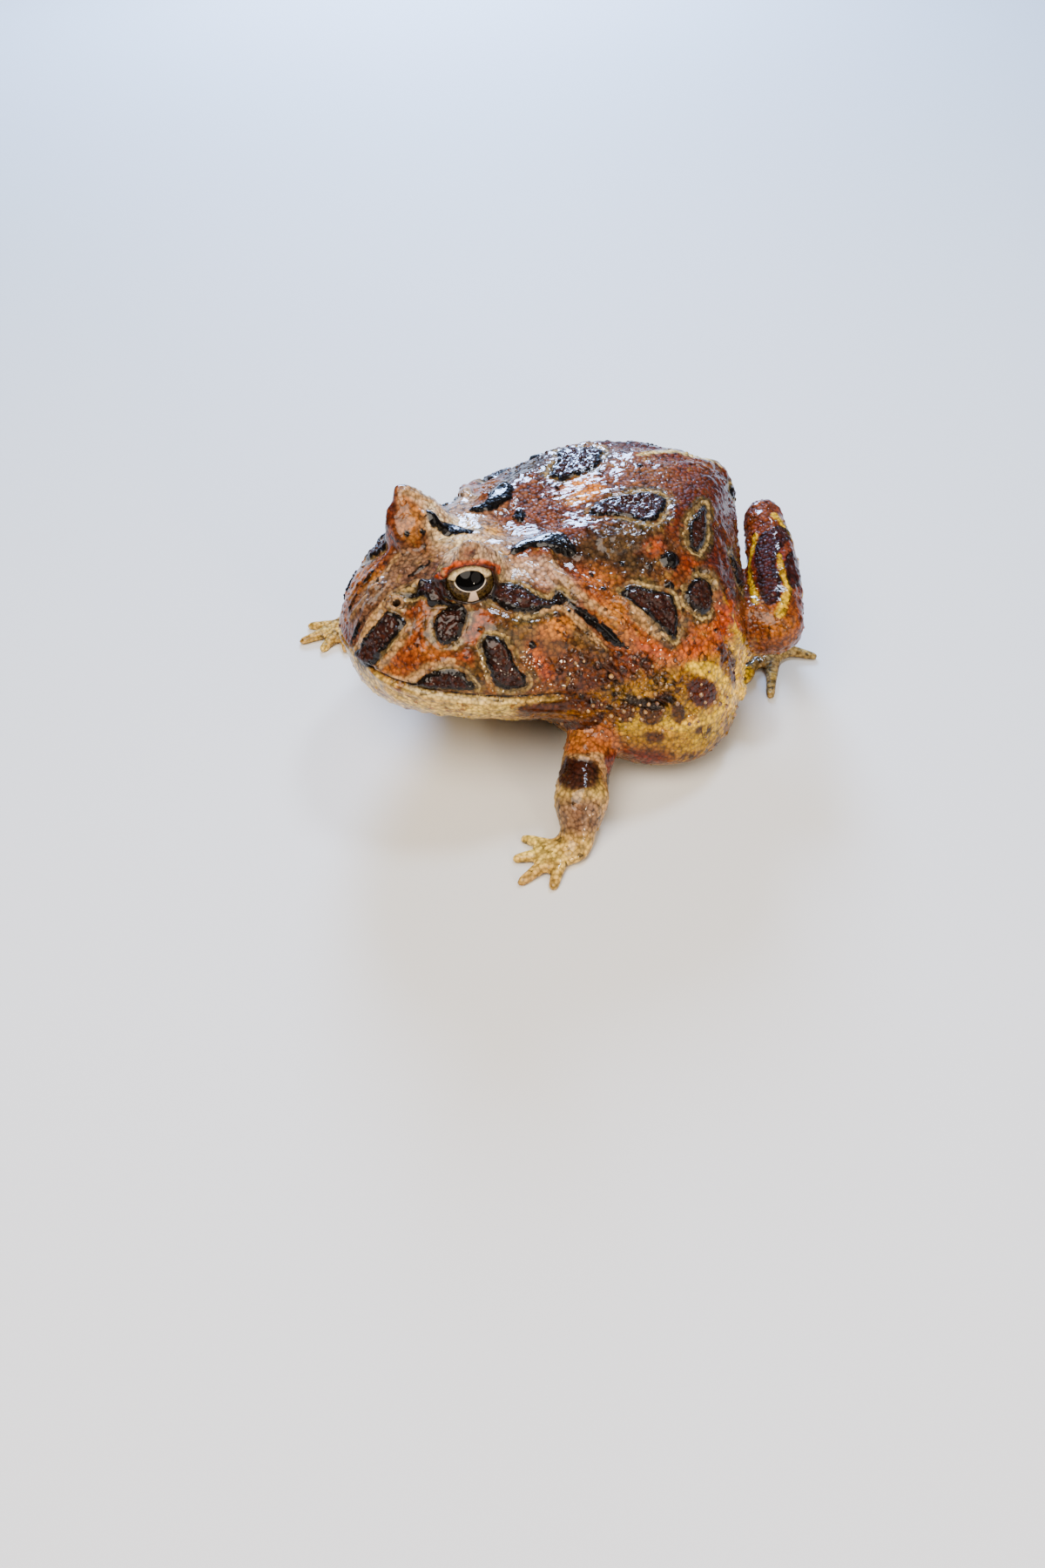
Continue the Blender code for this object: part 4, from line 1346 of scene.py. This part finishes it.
finishes = {"granules": wet_skin, "spines": horn}
scatter = scatter_tree("scatter_on_skin")
for name, profile, measure, spacing, smallest, largest, seed in SCATTERED:
    form = low_form(f"{name}_form", profile)
    made = place(name, skin.data.copy())
    spread = made.modifiers.new("scatter", "NODES")
    spread.node_group = scatter
    values = {
        "Form": form,
        "Finish": finishes[name],
        "Thickness": measure,
        "Spacing": spacing * MM,
        "Smallest": smallest * MM,
        "Largest": largest * MM,
        "Seed": seed,
    }
    for item in scatter.interface.items_tree:
        if item.in_out == "INPUT" and item.name in values:
            spread[item.identifier] = values[item.name]
    settle(made)
    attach(made, "root")
    bpy.data.objects.remove(form)

# Eyes.  A firm ball filled by a gold iris veined with black, with a wide flat pupil, under a
# clear, tear-wet cornea that bulges a little.
CORNEA_BULGE, CORNEA_SPREAD = 0.25, 0.16
BALL_SEGMENTS, BALL_RINGS = 64, 40
PUPIL = (1.98, 1.32)
PUPIL_RISE = 0.62
BAR_BEHIND, BAR_FLARE = -0.25, 0.28
VEINS_PER_MM = 2.2


def eyeball(name, side):
    """A ball whose map holds how far, in mm, a point lies behind and above the gaze's middle."""
    centre, gaze, rear, up = eye_frame(side)
    work = bmesh.new()
    bmesh.ops.create_uvsphere(work, u_segments=BALL_SEGMENTS, v_segments=BALL_RINGS, radius=1.0)
    chart = work.loops.layers.uv.new("gaze")
    stations = {}
    for vert in work.verts:
        local = vert.co.copy()
        bulge = CORNEA_BULGE * math.exp(-((1 - local.z) / CORNEA_SPREAD))
        stations[vert] = (local.x * EYE_RADIUS, local.y * EYE_RADIUS)
        way = rear * local.x + up * local.y + gaze * local.z
        vert.co = (centre + way * (EYE_RADIUS + bulge)) * MM
    for face in work.faces:
        for loop in face.loops:
            loop[chart].uv = stations[loop.vert]
    bmesh.ops.recalc_face_normals(work, faces=work.faces)
    mesh = mesh_of(work, name)
    mesh.shade_smooth()
    return place(name, mesh)


iris, tree = new_material("wet_cornea_over_gold_iris")
chart = add(tree, "ShaderNodeUVMap", uv_map="gaze")
parts = add(tree, "ShaderNodeSeparateXYZ", {"Vector": chart})
across, high, _ = parts.outputs
veins = add(
    tree,
    "ShaderNodeTexNoise",
    {"Vector": chart, "Scale": VEINS_PER_MM, "Detail": 6.0, "Roughness": 0.7},
)
on_pupil = {
    "Vector": chart,
    "Location": (0, -PUPIL_RISE / PUPIL[1], 0),
    "Scale": (1 / PUPIL[0], 1 / PUPIL[1], 0),
}
flat = add(tree, "ShaderNodeMapping", on_pupil)
spread = add(tree, "ShaderNodeVectorMath", {0: flat}, operation="LENGTH")
outer = add(tree, "ShaderNodeVectorMath", {0: chart}, operation="LENGTH")
beside = add(tree, "ShaderNodeMath", {0: across, 1: BAR_BEHIND}, operation="ADD")
beside = add(tree, "ShaderNodeMath", {0: beside}, operation="ABSOLUTE")
flare = {0: high, 1: BAR_FLARE, 2: beside}
flare = add(tree, "ShaderNodeMath", flare, operation="MULTIPLY_ADD")
gold = add(tree, "ShaderNodeValToRGB", {"Fac": veins})
set_ramp(gold, (0.35, "#8E6A35"), (0.62, "#EBD2A4"))
dusk = add(tree, "ShaderNodeValToRGB", {"Fac": veins})
set_ramp(dusk, (0.4, "#160D05"), (0.7, "#5A4520"))
# Layers over the gold: colour, then the masks that meet in it.  A mask says what is measured,
# where it is absent, where it is full and how it rises.
colour = gold
for over, *masks in (
    # the dusky lower half
    (dusk, (high, 1.0, 0.6, "SMOOTHSTEP")),
    # a pale ring round the lower half of the pupil
    (linear("#E9D6BE"), (spread, 1.15, 1.08, "SMOOTHSTEP"), (high, 0.75, 0.1, "SMOOTHSTEP")),
    # a pale bar under it
    (linear("#D6B79A"), (flare, 0.2, 0.0, "SMOOTHSTEP"), (high, -0.4, -0.7, "LINEAR")),
    # the pupil
    (linear("#050404"), (spread, 1.06, 1.0, "LINEAR")),
    # a painted highlight as a golden edge below, and a dark rim painted as shade under the lids
    (linear("#A88A48"), (outer, 3.0, 3.2, "SMOOTHSTEP"), (high, -0.6, -1.4, "SMOOTHSTEP")),
    (linear("#0F0905"), (outer, 3.34, 3.5, "LINEAR")),
):
    share = 1.0
    for measure, absent, full, ease in masks:
        mask = {"Value": measure, "From Min": absent, "From Max": full}
        mask = add(tree, "ShaderNodeMapRange", mask, interpolation_type=ease)
        both = {0: mask, 1: share}
        share = add(tree, "ShaderNodeMath", both, operation="MULTIPLY")
    mixed = {0: share, 6: colour, 7: over}
    colour = add(tree, "ShaderNodeMix", mixed, data_type="RGBA")
glass = add(
    tree,
    "ShaderNodeBsdfPrincipled",
    {
        "Base Color": colour,
        "Roughness": 0.5,
        "IOR": 1.38,
        "Specular IOR Level": 0.0,
        "Coat Weight": 0.6,
        "Coat Roughness": 0.02,
        "Coat IOR": 1.28,
    },
)
add(tree, "ShaderNodeOutputMaterial", {"Surface": glass})
for side_name, side in SIDES.items():
    ball = eyeball(f"eyeball_{side_name}", side)
    ball.data.materials.append(iris)
    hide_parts(f"eye_{side_name}")
    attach(ball, "root")
